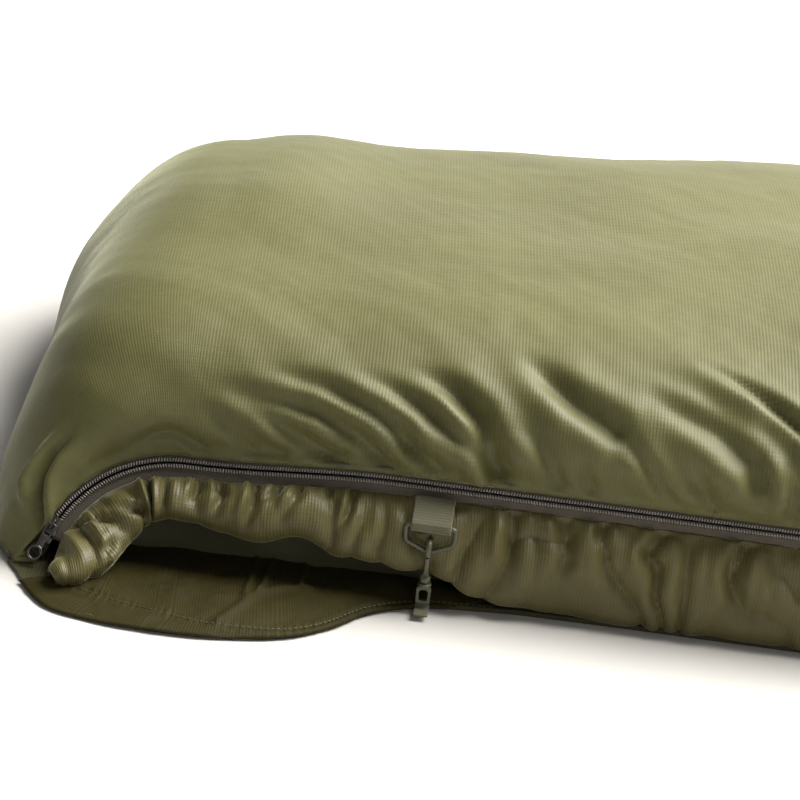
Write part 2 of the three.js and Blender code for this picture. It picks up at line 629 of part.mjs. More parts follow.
add(hook, "hook_body", hookBody(), acetal);

// The sprung gate closes the bow from its nose down to the neck.
const gatePoints = [
  new THREE.Vector3(0, -3.2, -BOW_LENGTH + 3.4),
  new THREE.Vector3(0, -5.4, -BOW_LENGTH + 7),
  new THREE.Vector3(0, -5.9, -6),
  new THREE.Vector3(0, -BOW_HALF, BOW_TOP - BOW_HALF - 3.8),
];
add(hook, "hook_gate", bar(gatePoints, 1.3, 8), acetal);

// The swivel turns on the neck and ends in a slot for the tether tape.
const SWIVEL_TOP = -BOW_LENGTH - 3.4;
function swivel() {
  const collar = new THREE.CylinderGeometry(4.2, 4.2, 2.6, 14).rotateX(Math.PI / 2).translate(0, 0, SWIVEL_TOP - 1.3);
  const yoke = box(-4.6, 4.6, -2, 2, SWIVEL_TOP - 14.5, SWIVEL_TOP - 1.5);
  const slot = box(-3, 3, -3, 3, SWIVEL_TOP - 12.5, SWIVEL_TOP - 4.4);
  return cut(joined(collar, yoke), slot);
}
add(hook, "hook_swivel", swivel(), acetal);

// Tape sewn to the floor seam, which the swivel is tied to.
const TETHER_Z = BASE_TOP + 0.2;
add(hanging, "tether_tape", box(-4.5, 4.5, -12, 16, TETHER_Z - ZIP_Z, TETHER_Z - ZIP_Z + 1.2), webbingNylon);

export default sack;
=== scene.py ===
import math

import bmesh
import bpy
import numpy as np
from mathutils import Matrix, Vector


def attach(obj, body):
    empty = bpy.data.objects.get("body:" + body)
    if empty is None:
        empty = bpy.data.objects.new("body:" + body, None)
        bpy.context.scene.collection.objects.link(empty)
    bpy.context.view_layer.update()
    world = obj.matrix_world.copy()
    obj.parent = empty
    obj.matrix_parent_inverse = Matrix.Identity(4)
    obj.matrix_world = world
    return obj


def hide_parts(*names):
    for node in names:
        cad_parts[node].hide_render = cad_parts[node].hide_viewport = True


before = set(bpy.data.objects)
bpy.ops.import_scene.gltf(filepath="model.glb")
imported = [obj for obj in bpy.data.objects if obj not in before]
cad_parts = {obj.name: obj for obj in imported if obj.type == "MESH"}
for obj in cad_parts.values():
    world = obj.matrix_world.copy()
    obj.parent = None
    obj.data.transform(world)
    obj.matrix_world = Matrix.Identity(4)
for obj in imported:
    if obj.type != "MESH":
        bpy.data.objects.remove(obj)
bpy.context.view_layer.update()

# ---- sizes in millimetres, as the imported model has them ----
FOOT_X = -1100.0
FOOT_SEAM_X = FOOT_X + 12.0
MOUTH_X = 740.0
HEAD_X = 1100.0
FOOT_HALF_WIDTH = 262.0
TAPER = math.radians(3.4)
FOOT_CREST = 172.0
CHEST_CREST = 220.0
MOUTH_CREST = 130.0
END_ROUNDING = 118.0
FAR_CORNER = 110.0
FAR_FULLNESS = 7.5
SECTION_POWER = 2.7
FLOOR_TOP = 3.3
FILLING = 19.0
ZIP_Z = 78.0
ZIP_DIP = 8.0
ZIP_TURN_RADIUS = 85.0
ZIP_TURN = math.radians(70)
ZIP_TURN_X = -981.0
ZIP_LEAN = math.radians(27)
ZIP_TWIST = 130.0
ZIP_HEAD_X = 716.0
WALL_EDGE = 8.7
TAB_X = -825.0
TAB_WIDTH = 25.0
TAB_STAND = 23.0
BAR_Z = -18.6
HOOD_START = MOUTH_X + 10.0
HOOD_HEIGHT = 112.0
TOOTH_PITCH = 1.72


# ---- small arithmetic ----
def smooth(t):
    t = np.clip(t, 0.0, 1.0)
    return t * t * (3.0 - 2.0 * t)


def unit(v):
    return v / np.maximum(np.linalg.norm(v, axis=-1, keepdims=True), 1e-9)


def column(values):
    return np.asarray(values, float)[..., None]


def through(keys, values, at):
    """A smooth curve through values at increasing keys."""
    keys = np.asarray(keys, float)
    values = np.asarray(values, float)
    if values.ndim == 1:
        values = values[:, None]
    slope = np.gradient(values, keys, axis=0)
    at = np.clip(np.asarray(at, float), keys[0], keys[-1])
    i = np.clip(np.searchsorted(keys, at, side="right") - 1, 0, len(keys) - 2)
    span = (keys[i + 1] - keys[i])[:, None]
    t = ((at - keys[i]) / span[:, 0])[:, None]
    a = values[i] * (1 + 2 * t) * (1 - t) ** 2 + slope[i] * span * t * (1 - t) ** 2
    b = values[i + 1] * t * t * (3 - 2 * t) + slope[i + 1] * span * t * t * (t - 1)
    return a + b


class Unevenness:
    """Repeatable smooth noise over two lengths, from -1 to 1."""

    def __init__(self, seed):
        self.table = np.random.default_rng(seed).uniform(-1.0, 1.0, (256, 256))

    def __call__(self, a, b):
        i = np.floor(a).astype(int)
        j = np.floor(b).astype(int)
        u = smooth(a - i)
        v = smooth(b - j)
        table = self.table
        low = table[i % 256, j % 256] * (1 - u) + table[(i + 1) % 256, j % 256] * u
        high = table[i % 256, (j + 1) % 256] * (1 - u) + table[(i + 1) % 256, (j + 1) % 256] * u
        return low * (1 - v) + high * v


# ---- the zip's line ----
ALONG = np.array([math.cos(TAPER), -math.sin(TAPER), 0.0])
WALL_OUT = np.array([-math.sin(TAPER), -math.cos(TAPER), 0.0])


def half_width(x):
    return FOOT_HALF_WIDTH + (np.asarray(x, float) - FOOT_X) * math.tan(TAPER)


def far_half_width(x):
    into = np.clip(FOOT_SEAM_X + FAR_CORNER - x, 0.0, FAR_CORNER)
    return half_width(x) + FAR_FULLNESS - (FAR_CORNER - np.sqrt(FAR_CORNER**2 - into**2))


def turn_frame():
    down = np.array([0.0, -math.sin(ZIP_LEAN), -math.cos(ZIP_LEAN)])
    down = unit(down - ALONG * down.dot(ALONG))
    out = unit(np.cross(ALONG, down))
    out = -out if out[1] > 0 else out
    start = np.array([ZIP_TURN_X, -float(half_width(ZIP_TURN_X)), ZIP_Z - ZIP_DIP])
    return down, out, start + down * ZIP_TURN_RADIUS


TURN_DOWN, TURN_OUT, TURN_CENTRE = turn_frame()
ZIP_START = -ZIP_TURN_RADIUS * ZIP_TURN


def zip_at(x):
    return (x - ZIP_TURN_X) / math.cos(TAPER)


ZIP_END = zip_at(ZIP_HEAD_X)


def zip_place(s):
    """Point, ahead, up and out on the zip's line. Below 0, s is on the turn at the foot."""
    s = np.atleast_1d(np.asarray(s, float))
    angle = np.maximum(-s, 0.0) / ZIP_TURN_RADIUS
    run = np.maximum(s, 0.0)
    straight = smooth(run / ZIP_TWIST)
    point = (
        TURN_CENTRE - ZIP_TURN_RADIUS * (column(np.cos(angle)) * TURN_DOWN + column(np.sin(angle)) * ALONG)
    )
    point = point + column(run) * ALONG
    point[:, 2] += ZIP_DIP * straight
    ahead = column(np.cos(angle)) * ALONG - column(np.sin(angle)) * TURN_DOWN
    out = unit(column(1 - straight) * TURN_OUT + column(straight) * WALL_OUT)
    up = unit(np.cross(out, ahead))
    return point, ahead, up, out


# ---- meshes ----
def new_piece(name, points, faces, materials, uv=None, smooth_shading=True, marks=None):
    """A mesh object from points in millimetres. marks gives each face's material number."""
    mesh = bpy.data.meshes.new(name)
    mesh.from_pydata((np.asarray(points, float) * 0.001).tolist(), [], [list(map(int, f)) for f in faces])
    for material in materials:
        mesh.materials.append(material)
    if uv is not None:
        layer = mesh.uv_layers.new(name="Cloth")
        corner = np.empty(len(mesh.loops), dtype=np.int32)
        mesh.loops.foreach_get("vertex_index", corner)
        layer.data.foreach_set("uv", (np.asarray(uv, float) * 0.001)[corner].astype(np.float32).ravel())
    if smooth_shading:
        mesh.polygons.foreach_set("use_smooth", [True] * len(mesh.polygons))
    if marks is not None:
        mesh.polygons.foreach_set("material_index", np.asarray(marks, dtype=np.int32))
    mesh.update()
    piece = bpy.data.objects.new(name, mesh)
    bpy.context.collection.objects.link(piece)
    return piece


def face_out(piece):
    work = bmesh.new()
    work.from_mesh(piece.data)
    bmesh.ops.recalc_face_normals(work, faces=work.faces)
    work.to_mesh(piece.data)
    work.free()
    return piece


def grid_faces(rows, columns, first=0, flip=False):
    i, j = np.meshgrid(np.arange(rows - 1), np.arange(columns - 1), indexing="ij")
    a = (first + i * columns + j).ravel()
    quads = np.stack([a, a + columns, a + columns + 1, a + 1], 1)
    return quads[:, ::-1] if flip else quads


def rim(rows, columns):
    """The grid's border as a loop of point numbers."""
    first = [(0, j) for j in range(columns)]
    right = [(i, columns - 1) for i in range(1, rows)]
    last = [(rows - 1, j) for j in range(columns - 2, -1, -1)]
    left = [(i, 0) for i in range(rows - 2, 0, -1)]
    return [i * columns + j for i, j in first + right + last + left]


def grid_normals(grid):
    return unit(np.cross(np.gradient(grid, axis=0), np.gradient(grid, axis=1)))


def arc_lengths(grid, axis):
    steps = np.linalg.norm(np.diff(grid, axis=axis), axis=-1)
    pad = [(0, 0), (0, 0)]
    pad[axis] = (1, 0)
    return np.pad(np.cumsum(steps, axis=axis), pad)


def resample(line, fractions):
    """Points at given fractions of a line's length."""
    length = np.concatenate([[0.0], np.cumsum(np.linalg.norm(np.diff(line, axis=0), axis=1))])
    at = fractions * length[-1]
    return np.stack([np.interp(at, length, line[:, k]) for k in range(3)], 1)


def rounded_line(corners, count):
    """A smooth line through corner points, given as an array rows x corners x 3, with count points a row."""
    keys = np.arange(corners.shape[1])
    fine = np.linspace(0, corners.shape[1] - 1, corners.shape[1] * 9)
    return np.stack([resample(through(keys, row, fine), np.linspace(0, 1, count)) for row in corners])


def closed_pad(name, outer, inner, uv, materials):
    """A stuffed piece between an outer grid and an inner grid of half its rows and columns."""
    rows, columns = outer.shape[:2]
    half_rows, half_columns = inner.shape[:2]
    points = np.concatenate([outer.reshape(-1, 3), inner.reshape(-1, 3)])
    first = rows * columns
    faces = grid_faces(rows, columns).tolist()
    marks = [0] * len(faces)
    lining = grid_faces(half_rows, half_columns, first, flip=True).tolist()
    faces += lining
    marks += [1] * len(lining)
    outer_rim = rim(rows, columns)
    inner_rim = [first + k for k in rim(half_rows, half_columns)]
    count = len(inner_rim)
    for k in range(count):
        a, b = inner_rim[k], inner_rim[(k + 1) % count]
        c, d, e = (outer_rim[(2 * k + n) % (2 * count)] for n in range(3))
        faces += [[a, d, c], [a, b, d], [b, e, d]]
        marks += [0] * 3
    uvs = np.concatenate([uv.reshape(-1, 2), uv[::2, ::2].reshape(-1, 2)])
    return face_out(new_piece(name, points, faces, materials, uvs, marks=marks))


def sheet_piece(name, grid, uv, material, thickness, flip=False):
    """A cloth of some thickness, whose face is the grid."""
    rows, columns = grid.shape[:2]
    piece = new_piece(
        name, grid.reshape(-1, 3), grid_faces(rows, columns, flip=flip), [material], uv.reshape(-1, 2)
    )
    wall = piece.modifiers.new("Thickness", "SOLIDIFY")
    wall.thickness = thickness * 0.001
    wall.offset = -1.0
    wall.use_even_offset = False
    return piece


def tube(name, centres, radii, sides, material, loop=False):
    """A round tube along points, with one radius or one for each point."""
    centres = np.asarray(centres, float)
    count = len(centres)
    radii = np.broadcast_to(np.asarray(radii, float), (count,))
    if loop:
        ahead = unit(np.roll(centres, -1, 0) - np.roll(centres, 1, 0))
    else:
        ahead = unit(np.gradient(centres, axis=0))
    side = np.zeros_like(centres)
    start = np.cross(ahead[0], [0.13, 0.21, 0.97])
    for i in range(count):
        start = unit(start - ahead[i] * start.dot(ahead[i]))
        side[i] = start
    if loop:
        turn = math.atan2(np.dot(np.cross(side[-1], side[0]), ahead[0]), np.dot(side[-1], side[0]))
        angles = turn * np.arange(count) / count
        side = side * column(np.cos(angles)) + np.cross(ahead, side) * column(np.sin(angles))
    other = np.cross(ahead, side)
    around = np.arange(sides) * 2 * math.pi / sides
    ring = column(np.cos(around))[None] * side[:, None] + column(np.sin(around))[None] * other[:, None]
    points = centres[:, None] + ring * radii[:, None, None]
    lengths = arc_lengths(points, 0)
    uv = np.stack([lengths, np.broadcast_to(around * radii.mean(), lengths.shape)], 2)
    faces = []
    for i in range(count if loop else count - 1):
        n = (i + 1) % count
        for k in range(sides):
            m = (k + 1) % sides
            faces.append([i * sides + k, n * sides + k, n * sides + m, i * sides + m])
    if not loop:
        faces.append(list(range(sides)))
        faces.append(list(range((count - 1) * sides, count * sides))[::-1])
    return face_out(new_piece(name, points.reshape(-1, 3), faces, [material], uv.reshape(-1, 2)))


def fine_line(points, step, loop=False):
    """The same line with points a step apart."""
    points = np.asarray(points, float)
    if loop:
        points = np.concatenate([points, points[:1]])
    length = np.linalg.norm(np.diff(points, axis=0), axis=1).sum()
    line = resample(points, np.linspace(0, 1, max(4, int(length / step))))
    return line[:-1] if loop else line


# ---- materials ----
def node(tree, kind, inputs=None, **settings):
    made = tree.nodes.new(kind)
    for key, value in settings.items():
        setattr(made, key, value)
    for key, value in (inputs or {}).items():
        if isinstance(value, bpy.types.NodeSocket):
            tree.links.new(value, made.inputs[key])
        else:
            made.inputs[key].default_value = value
    return made


def maths(tree, operation, a, b=0.0, c=0.0):
    return node(tree, "ShaderNodeMath", {0: a, 1: b, 2: c}, operation=operation).outputs[0]


def group(name, inputs, outputs):
    tree = bpy.data.node_groups.new(name, "ShaderNodeTree")
    for label, value in inputs.items():
        socket = tree.interface.new_socket(label, in_out="INPUT", socket_type="NodeSocketFloat")
        socket.default_value = value
    for label, kind in outputs.items():
        tree.interface.new_socket(label, in_out="OUTPUT", socket_type=kind)
    return tree, tree.nodes.new("NodeGroupInput"), tree.nodes.new("NodeGroupOutput")


def ripstop_weave():
    """Fine ribs across the cloth with a faint grid: a height and a mask of the rib crowns."""
    tree, given, result = group(
        "ripstop weave",
        {"Rib Pitch": 0.0021, "Grid Pitch": 0.0063, "Grid Depth": 0.35, "Slub": 0.25},
        {"Height": "NodeSocketFloat", "Crown": "NodeSocketFloat"},
    )
    place = node(tree, "ShaderNodeUVMap", uv_map="Cloth")
    parts = node(tree, "ShaderNodeSeparateXYZ", {0: place.outputs[0]})
    slub = node(tree, "ShaderNodeTexNoise", {"Vector": place.outputs[0], "Scale": 900.0, "Detail": 2.0})
    drift = maths(tree, "MULTIPLY", maths(tree, "SUBTRACT", slub.outputs[0], 0.5), given.outputs["Slub"])
    turn = maths(tree, "DIVIDE", parts.outputs[0], given.outputs["Rib Pitch"])
    rib = maths(tree, "SINE", maths(tree, "MULTIPLY", maths(tree, "ADD", turn, drift), 2 * math.pi))
    rib = maths(tree, "MULTIPLY_ADD", rib, 0.5, 0.5)
    rows = maths(tree, "DIVIDE", parts.outputs[1], given.outputs["Rib Pitch"])
    weft = maths(tree, "SINE", maths(tree, "MULTIPLY", rows, 2 * math.pi))
    weft = maths(tree, "MULTIPLY_ADD", weft, 0.18, 0.18)
    lines = maths(
        tree, "SINE",
        maths(
            tree, "MULTIPLY", maths(tree, "DIVIDE", parts.outputs[1], given.outputs["Grid Pitch"]),
            2 * math.pi
        )
    )
    lines = maths(tree, "POWER", maths(tree, "MULTIPLY_ADD", lines, 0.5, 0.5), 6.0)
    lines = maths(tree, "MULTIPLY", lines, given.outputs["Grid Depth"])
    height = maths(tree, "ADD", maths(tree, "ADD", rib, weft), lines)
    tree.links.new(height, result.inputs["Height"])
    tree.links.new(rib, result.inputs["Crown"])
    return tree


def plain_weave():
    """Warp and weft of a woven tape: a height and a mask of its crowns."""
    tree, given, result = group(
        "plain weave",
        {"Thread": 0.0009, "Twill": 0.5},
        {"Height": "NodeSocketFloat", "Crown": "NodeSocketFloat"},
    )
    place = node(tree, "ShaderNodeUVMap", uv_map="Cloth")
    parts = node(tree, "ShaderNodeSeparateXYZ", {0: place.outputs[0]})
    across = maths(tree, "DIVIDE", parts.outputs[1], given.outputs["Thread"])
    shift = maths(tree, "MULTIPLY", across, given.outputs["Twill"])
    warp = maths(tree, "ADD", maths(tree, "DIVIDE", parts.outputs[0], given.outputs["Thread"]), shift)
    warp = maths(tree, "SINE", maths(tree, "MULTIPLY", warp, math.pi))
    weft = maths(tree, "SINE", maths(tree, "MULTIPLY", across, math.pi))
    crown = maths(tree, "MULTIPLY_ADD", maths(tree, "MULTIPLY", warp, weft), 0.5, 0.5)
    tree.links.new(crown, result.inputs["Height"])
    tree.links.new(crown, result.inputs["Crown"])
    return tree


def uneven_tone():
    """Slow and fine unevenness over a piece: a mask about 0.5."""
    tree, given, result = group(
        "uneven tone",
        {"Scale": 9.0, "Fine Scale": 160.0, "Fine Share": 0.35},
        {"Mask": "NodeSocketFloat"},
    )
    place = node(tree, "ShaderNodeTexCoord")
    slow = node(
        tree, "ShaderNodeTexNoise",
        {"Vector": place.outputs["Object"], "Scale": given.outputs["Scale"], "Detail": 3.0}
    )
    fine = node(
        tree, "ShaderNodeTexNoise",
        {"Vector": place.outputs["Object"], "Scale": given.outputs["Fine Scale"], "Detail": 2.0}
    )
    mixed = node(
        tree, "ShaderNodeMix", {0: given.outputs["Fine Share"], 2: slow.outputs[0], 3: fine.outputs[0]}
    )
    tree.links.new(mixed.outputs[0], result.inputs["Mask"])
    return tree


RIPSTOP = ripstop_weave()
TAPE_WEAVE = plain_weave()
TONE = uneven_tone()


def new_material(name):
    material = bpy.data.materials.new(name)
    material.use_nodes = True
    tree = material.node_tree
    tree.nodes.clear()
    surface = tree.nodes.new("ShaderNodeBsdfPrincipled")
    output = tree.nodes.new("ShaderNodeOutputMaterial")
    tree.links.new(surface.outputs[0], output.inputs[0])
    return material, tree, surface


def mix_colour(tree, factor, a, b):
    made = node(tree, "ShaderNodeMix", data_type="RGBA")
    made.inputs[6].default_value = (*a, 1.0)
    made.inputs[7].default_value = (*b, 1.0)
    tree.links.new(factor, made.inputs[0])
    return made.outputs[2]


def ripstop_cloth(
    name, dark, light, roughness, sheen, rib_depth, crown=0.3, pitch=0.0021, coat=0.0, shine=0.34
):
    """Glossy ribbed nylon with slow changes of tone and soft crumple."""
    material, tree, surface = new_material(name)
    weave = node(tree, "ShaderNodeGroup", node_tree=RIPSTOP)
    weave.inputs["Rib Pitch"].default_value = pitch
    weave.inputs["Grid Pitch"].default_value = pitch * 3
    tone = node(tree, "ShaderNodeGroup", node_tree=TONE)
    place = node(tree, "ShaderNodeTexCoord")
    crumple = node(
        tree, "ShaderNodeTexNoise",
        {"Vector": place.outputs["Object"], "Scale": 30.0, "Detail": 4.0, "Roughness": 0.5}
    )
    # Rib crowns are painted lighter than the hollows between them: a painted highlight on the ribs, on top of
    # the slow random tone.
    tone_and_crown_highlight = maths(
        tree, "ADD", maths(tree, "MULTIPLY", tone.outputs[0], 0.7),
        maths(tree, "MULTIPLY", weave.outputs["Crown"], crown)
    )
    colour = mix_colour(tree, maths(tree, "SUBTRACT", tone_and_crown_highlight, 0.1), dark, light)
    tree.links.new(colour, surface.inputs["Base Color"])
    rough = maths(tree, "MULTIPLY_ADD", tone.outputs[0], 0.16, roughness - 0.08)
    tree.links.new(rough, surface.inputs["Roughness"])
    folds = node(tree, "ShaderNodeBump", {"Height": crumple.outputs[0], "Strength": 0.14, "Distance": 0.004})
    ribs = node(
        tree, "ShaderNodeBump",
        {
            "Height": weave.outputs["Height"], "Strength": rib_depth, "Distance": 0.00035,
            "Normal": folds.outputs[0]
        }
    )
    tree.links.new(ribs.outputs[0], surface.inputs["Normal"])
    surface.inputs["Sheen Weight"].default_value = sheen
    surface.inputs["Sheen Roughness"].default_value = 0.3
    surface.inputs["Sheen Tint"].default_value = (0.78, 0.80, 0.58, 1.0)
    surface.inputs["Specular IOR Level"].default_value = shine
    surface.inputs["Coat Weight"].default_value = coat
    surface.inputs["Coat Roughness"].default_value = 0.3
    return material


def woven_band(name, dark, light, roughness, thread, twill=0.5, depth=0.6):
    """Webbing or zip tape with its threads."""
    material, tree, surface = new_material(name)
    weave = node(tree, "ShaderNodeGroup", node_tree=TAPE_WEAVE)
    weave.inputs["Thread"].default_value = thread
    weave.inputs["Twill"].default_value = twill
    tone = node(tree, "ShaderNodeGroup", node_tree=TONE)
    # Thread crowns are painted lighter than the gaps between threads: a painted highlight and painted shade
    # on the weave, on top of the random tone.
    tone_and_crown_highlight = maths(
        tree, "ADD", maths(tree, "MULTIPLY", tone.outputs[0], 0.6),
        maths(tree, "MULTIPLY", weave.outputs["Crown"], 0.5)
    )
    tree.links.new(
        mix_colour(tree, maths(tree, "SUBTRACT", tone_and_crown_highlight, 0.05), dark, light), surface.inputs["Base Color"]
    )
    surface.inputs["Roughness"].default_value = roughness
    bump = node(
        tree, "ShaderNodeBump",
        {"Height": weave.outputs["Height"], "Strength": depth, "Distance": thread * 0.4}
    )
    tree.links.new(bump.outputs[0], surface.inputs["Normal"])
    surface.inputs["Sheen Weight"].default_value = 0.25
    surface.inputs["Sheen Roughness"].default_value = 0.5
    return material


def hard_material(name, dark, light, roughness, metallic=0.0, grain=220.0, depth=0.1, coat=0.0):
    """Moulded plastic or plated metal with handling marks."""
    material, tree, surface = new_material(name)
    tone = node(tree, "ShaderNodeGroup", node_tree=TONE)
    tone.inputs["Scale"].default_value = 60.0
    tone.inputs["Fine Scale"].default_value = grain * 4
    place = node(tree, "ShaderNodeTexCoord")
    marks = node(
        tree, "ShaderNodeTexNoise", {"Vector": place.outputs["Object"], "Scale": grain * 6, "Detail": 3.0}
    )
    tree.links.new(mix_colour(tree, tone.outputs[0], dark, light), surface.inputs["Base Color"])
    tree.links.new(
        maths(tree, "MULTIPLY_ADD", tone.outputs[0], 0.22, roughness - 0.11), surface.inputs["Roughness"]
    )
    bump = node(tree, "ShaderNodeBump", {"Height": marks.outputs[0], "Strength": depth, "Distance": 0.0002})
    tree.links.new(bump.outputs[0], surface.inputs["Normal"])
    surface.inputs["Metallic"].default_value = metallic
    surface.inputs["Coat Weight"].default_value = coat
    surface.inputs["Coat Roughness"].default_value = 0.2
    return material


COVER_CLOTH = ripstop_cloth(
    "olive ripstop", (0.064, 0.060, 0.018), (0.150, 0.146, 0.050), 0.56, 0.40, 0.27, crown=0.12
)
BAND_CLOTH = ripstop_cloth(
    "olive ripstop, gathered", (0.050, 0.042, 0.013), (0.142, 0.124, 0.042), 0.48, 0.35, 0.38, crown=0.25
)
# A darker, duller copy of the olive ripstop for the cloth under the rolled lip and on the floor flap: its
# dark colour and weak shine are painted shade.
FLAP_PAINTED_SHADE_CLOTH = ripstop_cloth(
    "olive ripstop, painted shade under the lip", (0.017, 0.014, 0.0036), (0.044, 0.037, 0.011), 0.66, 0.03, 0.30,
    crown=0.25, shine=0.08
)
LINING_CLOTH = ripstop_cloth(
    "soft olive lining", (0.045, 0.043, 0.018), (0.085, 0.082, 0.036), 0.62, 0.2, 0.25, pitch=0.0012
)
FLOOR_CLOTH = ripstop_cloth("coated floor cloth", (0.030, 0.028, 0.011), (0.062, 0.057, 0.025), 0.5, 0.1, 0.4)
BINDING_TAPE = woven_band("binding tape", (0.030, 0.027, 0.013), (0.062, 0.056, 0.028), 0.75, 0.0008)
ZIP_TAPE = woven_band("zip tape", (0.040, 0.031, 0.021), (0.098, 0.080, 0.058), 0.8, 0.0007)
WEBBING = woven_band(
    "olive webbing", (0.045, 0.041, 0.018), (0.120, 0.112, 0.055), 0.78, 0.0011, twill=1.0, depth=0.9
)
THREAD = woven_band("olive thread", (0.030, 0.027, 0.012), (0.075, 0.068, 0.034), 0.6, 0.0003)
COIL = hard_material("nylon coil", (0.10, 0.088, 0.078), (0.30, 0.27, 0.24), 0.26, grain=400.0, coat=0.3)
# The cord inside the coil is a real part, but its near-black colour is painted shade in the coil's hollow
# core.
COIL_CORE = hard_material("coil cord", (0.010, 0.008, 0.007), (0.024, 0.020, 0.017), 0.6)
GUNMETAL = hard_material(
    "gunmetal plating", (0.055, 0.050, 0.045), (0.14, 0.13, 0.12), 0.34, metallic=0.9, depth=0.15
)
OLIVE_ACETAL = hard_material(
    "olive acetal", (0.034, 0.035, 0.017), (0.072, 0.072, 0.038), 0.4, grain=120.0, coat=0.15
)
BLACKENED_BRASS = hard_material(
    "blackened brass", (0.10, 0.085, 0.05), (0.2, 0.17, 0.11), 0.32, metallic=0.95
)


# ---- camera, floor and light ----
CAMERA_ELEVATION = math.radians(20)
CAMERA_ROLL = math.radians(6.8)
CAMERA_YAW = math.radians(1.0)
CAMERA_TARGET = Vector((-0.854, -0.247, 0.120))
CAMERA_DISTANCE = 2.0
CAMERA_LENS = 144.0
SENSOR_WIDTH = 36.0
FLOOR_REACH = 60000
WORLD_STRENGTH = 0.20


def set_camera():
    """Low three-quarter view of the foot end from the zip's side, slightly tilted."""
    elevation, roll, yaw = CAMERA_ELEVATION, CAMERA_ROLL, CAMERA_YAW
    flat = math.cos(elevation)
    ahead = Vector((math.sin(yaw) * flat, math.cos(yaw) * flat, -math.sin(elevation)))
    right = ahead.cross(Vector((0, 0, 1))).normalized()
    up = right.cross(ahead)
    side = right * math.cos(roll) + up * math.sin(roll)
    top = up * math.cos(roll) - right * math.sin(roll)
    lens = bpy.data.cameras.new("camera")
    lens.lens = CAMERA_LENS
    lens.sensor_width = SENSOR_WIDTH
    lens.clip_end = 100.0
    camera = bpy.data.objects.new("camera", lens)
    turn = Matrix((side, top, -ahead)).transposed().to_4x4()
    camera.matrix_world = Matrix.Translation(CAMERA_TARGET - ahead * CAMERA_DISTANCE) @ turn
    bpy.context.collection.objects.link(camera)
    bpy.context.scene.camera = camera


def softbox(name, place, aim, size, power, colour):
    lamp = bpy.data.lights.new(name, "AREA")
    lamp.shape = "RECTANGLE"
    lamp.size, lamp.size_y = size
    lamp.energy = power
    lamp.color = colour
    item = bpy.data.objects.new(name, lamp)
    item.location = place
    item.rotation_euler = (Vector(aim) - Vector(place)).to_track_quat("-Z", "Y").to_euler()
    bpy.context.collection.objects.link(item)


def set_studio():
    reach = FLOOR_REACH
    points = [(-reach, -reach, 0), (reach, -reach, 0), (reach, reach, 0), (-reach, reach, 0)]
    material, tree, surface = new_material("studio floor")
    tone = node(tree, "ShaderNodeGroup", node_tree=TONE)
    tree.links.new(
        mix_colour(tree, tone.outputs[0], (0.52, 0.50, 0.475), (0.55, 0.535, 0.515)),
        surface.inputs["Base Color"]
    )
    surface.inputs["Roughness"].default_value = 0.9
    surface.inputs["Specular IOR Level"].default_value = 0.1
    new_piece("studio_floor", points, [[0, 1, 2, 3]], [material])
    world = bpy.data.worlds.new("studio")
    world.use_nodes = True
    world.node_tree.nodes["Background"].inputs[0].default_value = (1.0, 0.99, 0.975, 1.0)
    world.node_tree.nodes["Background"].inputs[1].default_value = WORLD_STRENGTH
    bpy.context.scene.world = world
    softbox("overhead softbox", (0.85, 0.40, 2.6), (-0.8, -0.1, 0.1), (2.6, 2.2), 365.0, (1.0, 0.99, 0.955))
    softbox("back softbox", (0.8, 3.2, 1.2), (-0.8, 0.0, 0.1), (5.0, 2.2), 52.0, (1.0, 0.99, 0.96))
    softbox("front softbox", (-0.2, -2.6, 1.2), (-0.9, -0.25, 0.08), (0.9, 0.7), 9.0, (1.0, 0.99, 0.97))


bpy.context.scene.view_settings.view_transform = "Standard"
set_camera()
set_studio()


# ---- top quilt ----
def cover_stations():
    """Rows of the cover: a few below the zip, then close round the foot, spreading out along the sack."""
    below = np.linspace(0.0, 0.253, 9)[:-1]
    turn = np.linspace(ZIP_START, 0.0, 38)[:-1]
    seen = np.linspace(0.0, 420.0, 120)[:-1]
    rest = np.linspace(420.0, zip_at(MOUTH_X), 168)
    return below, np.concatenate([turn, seen, rest])


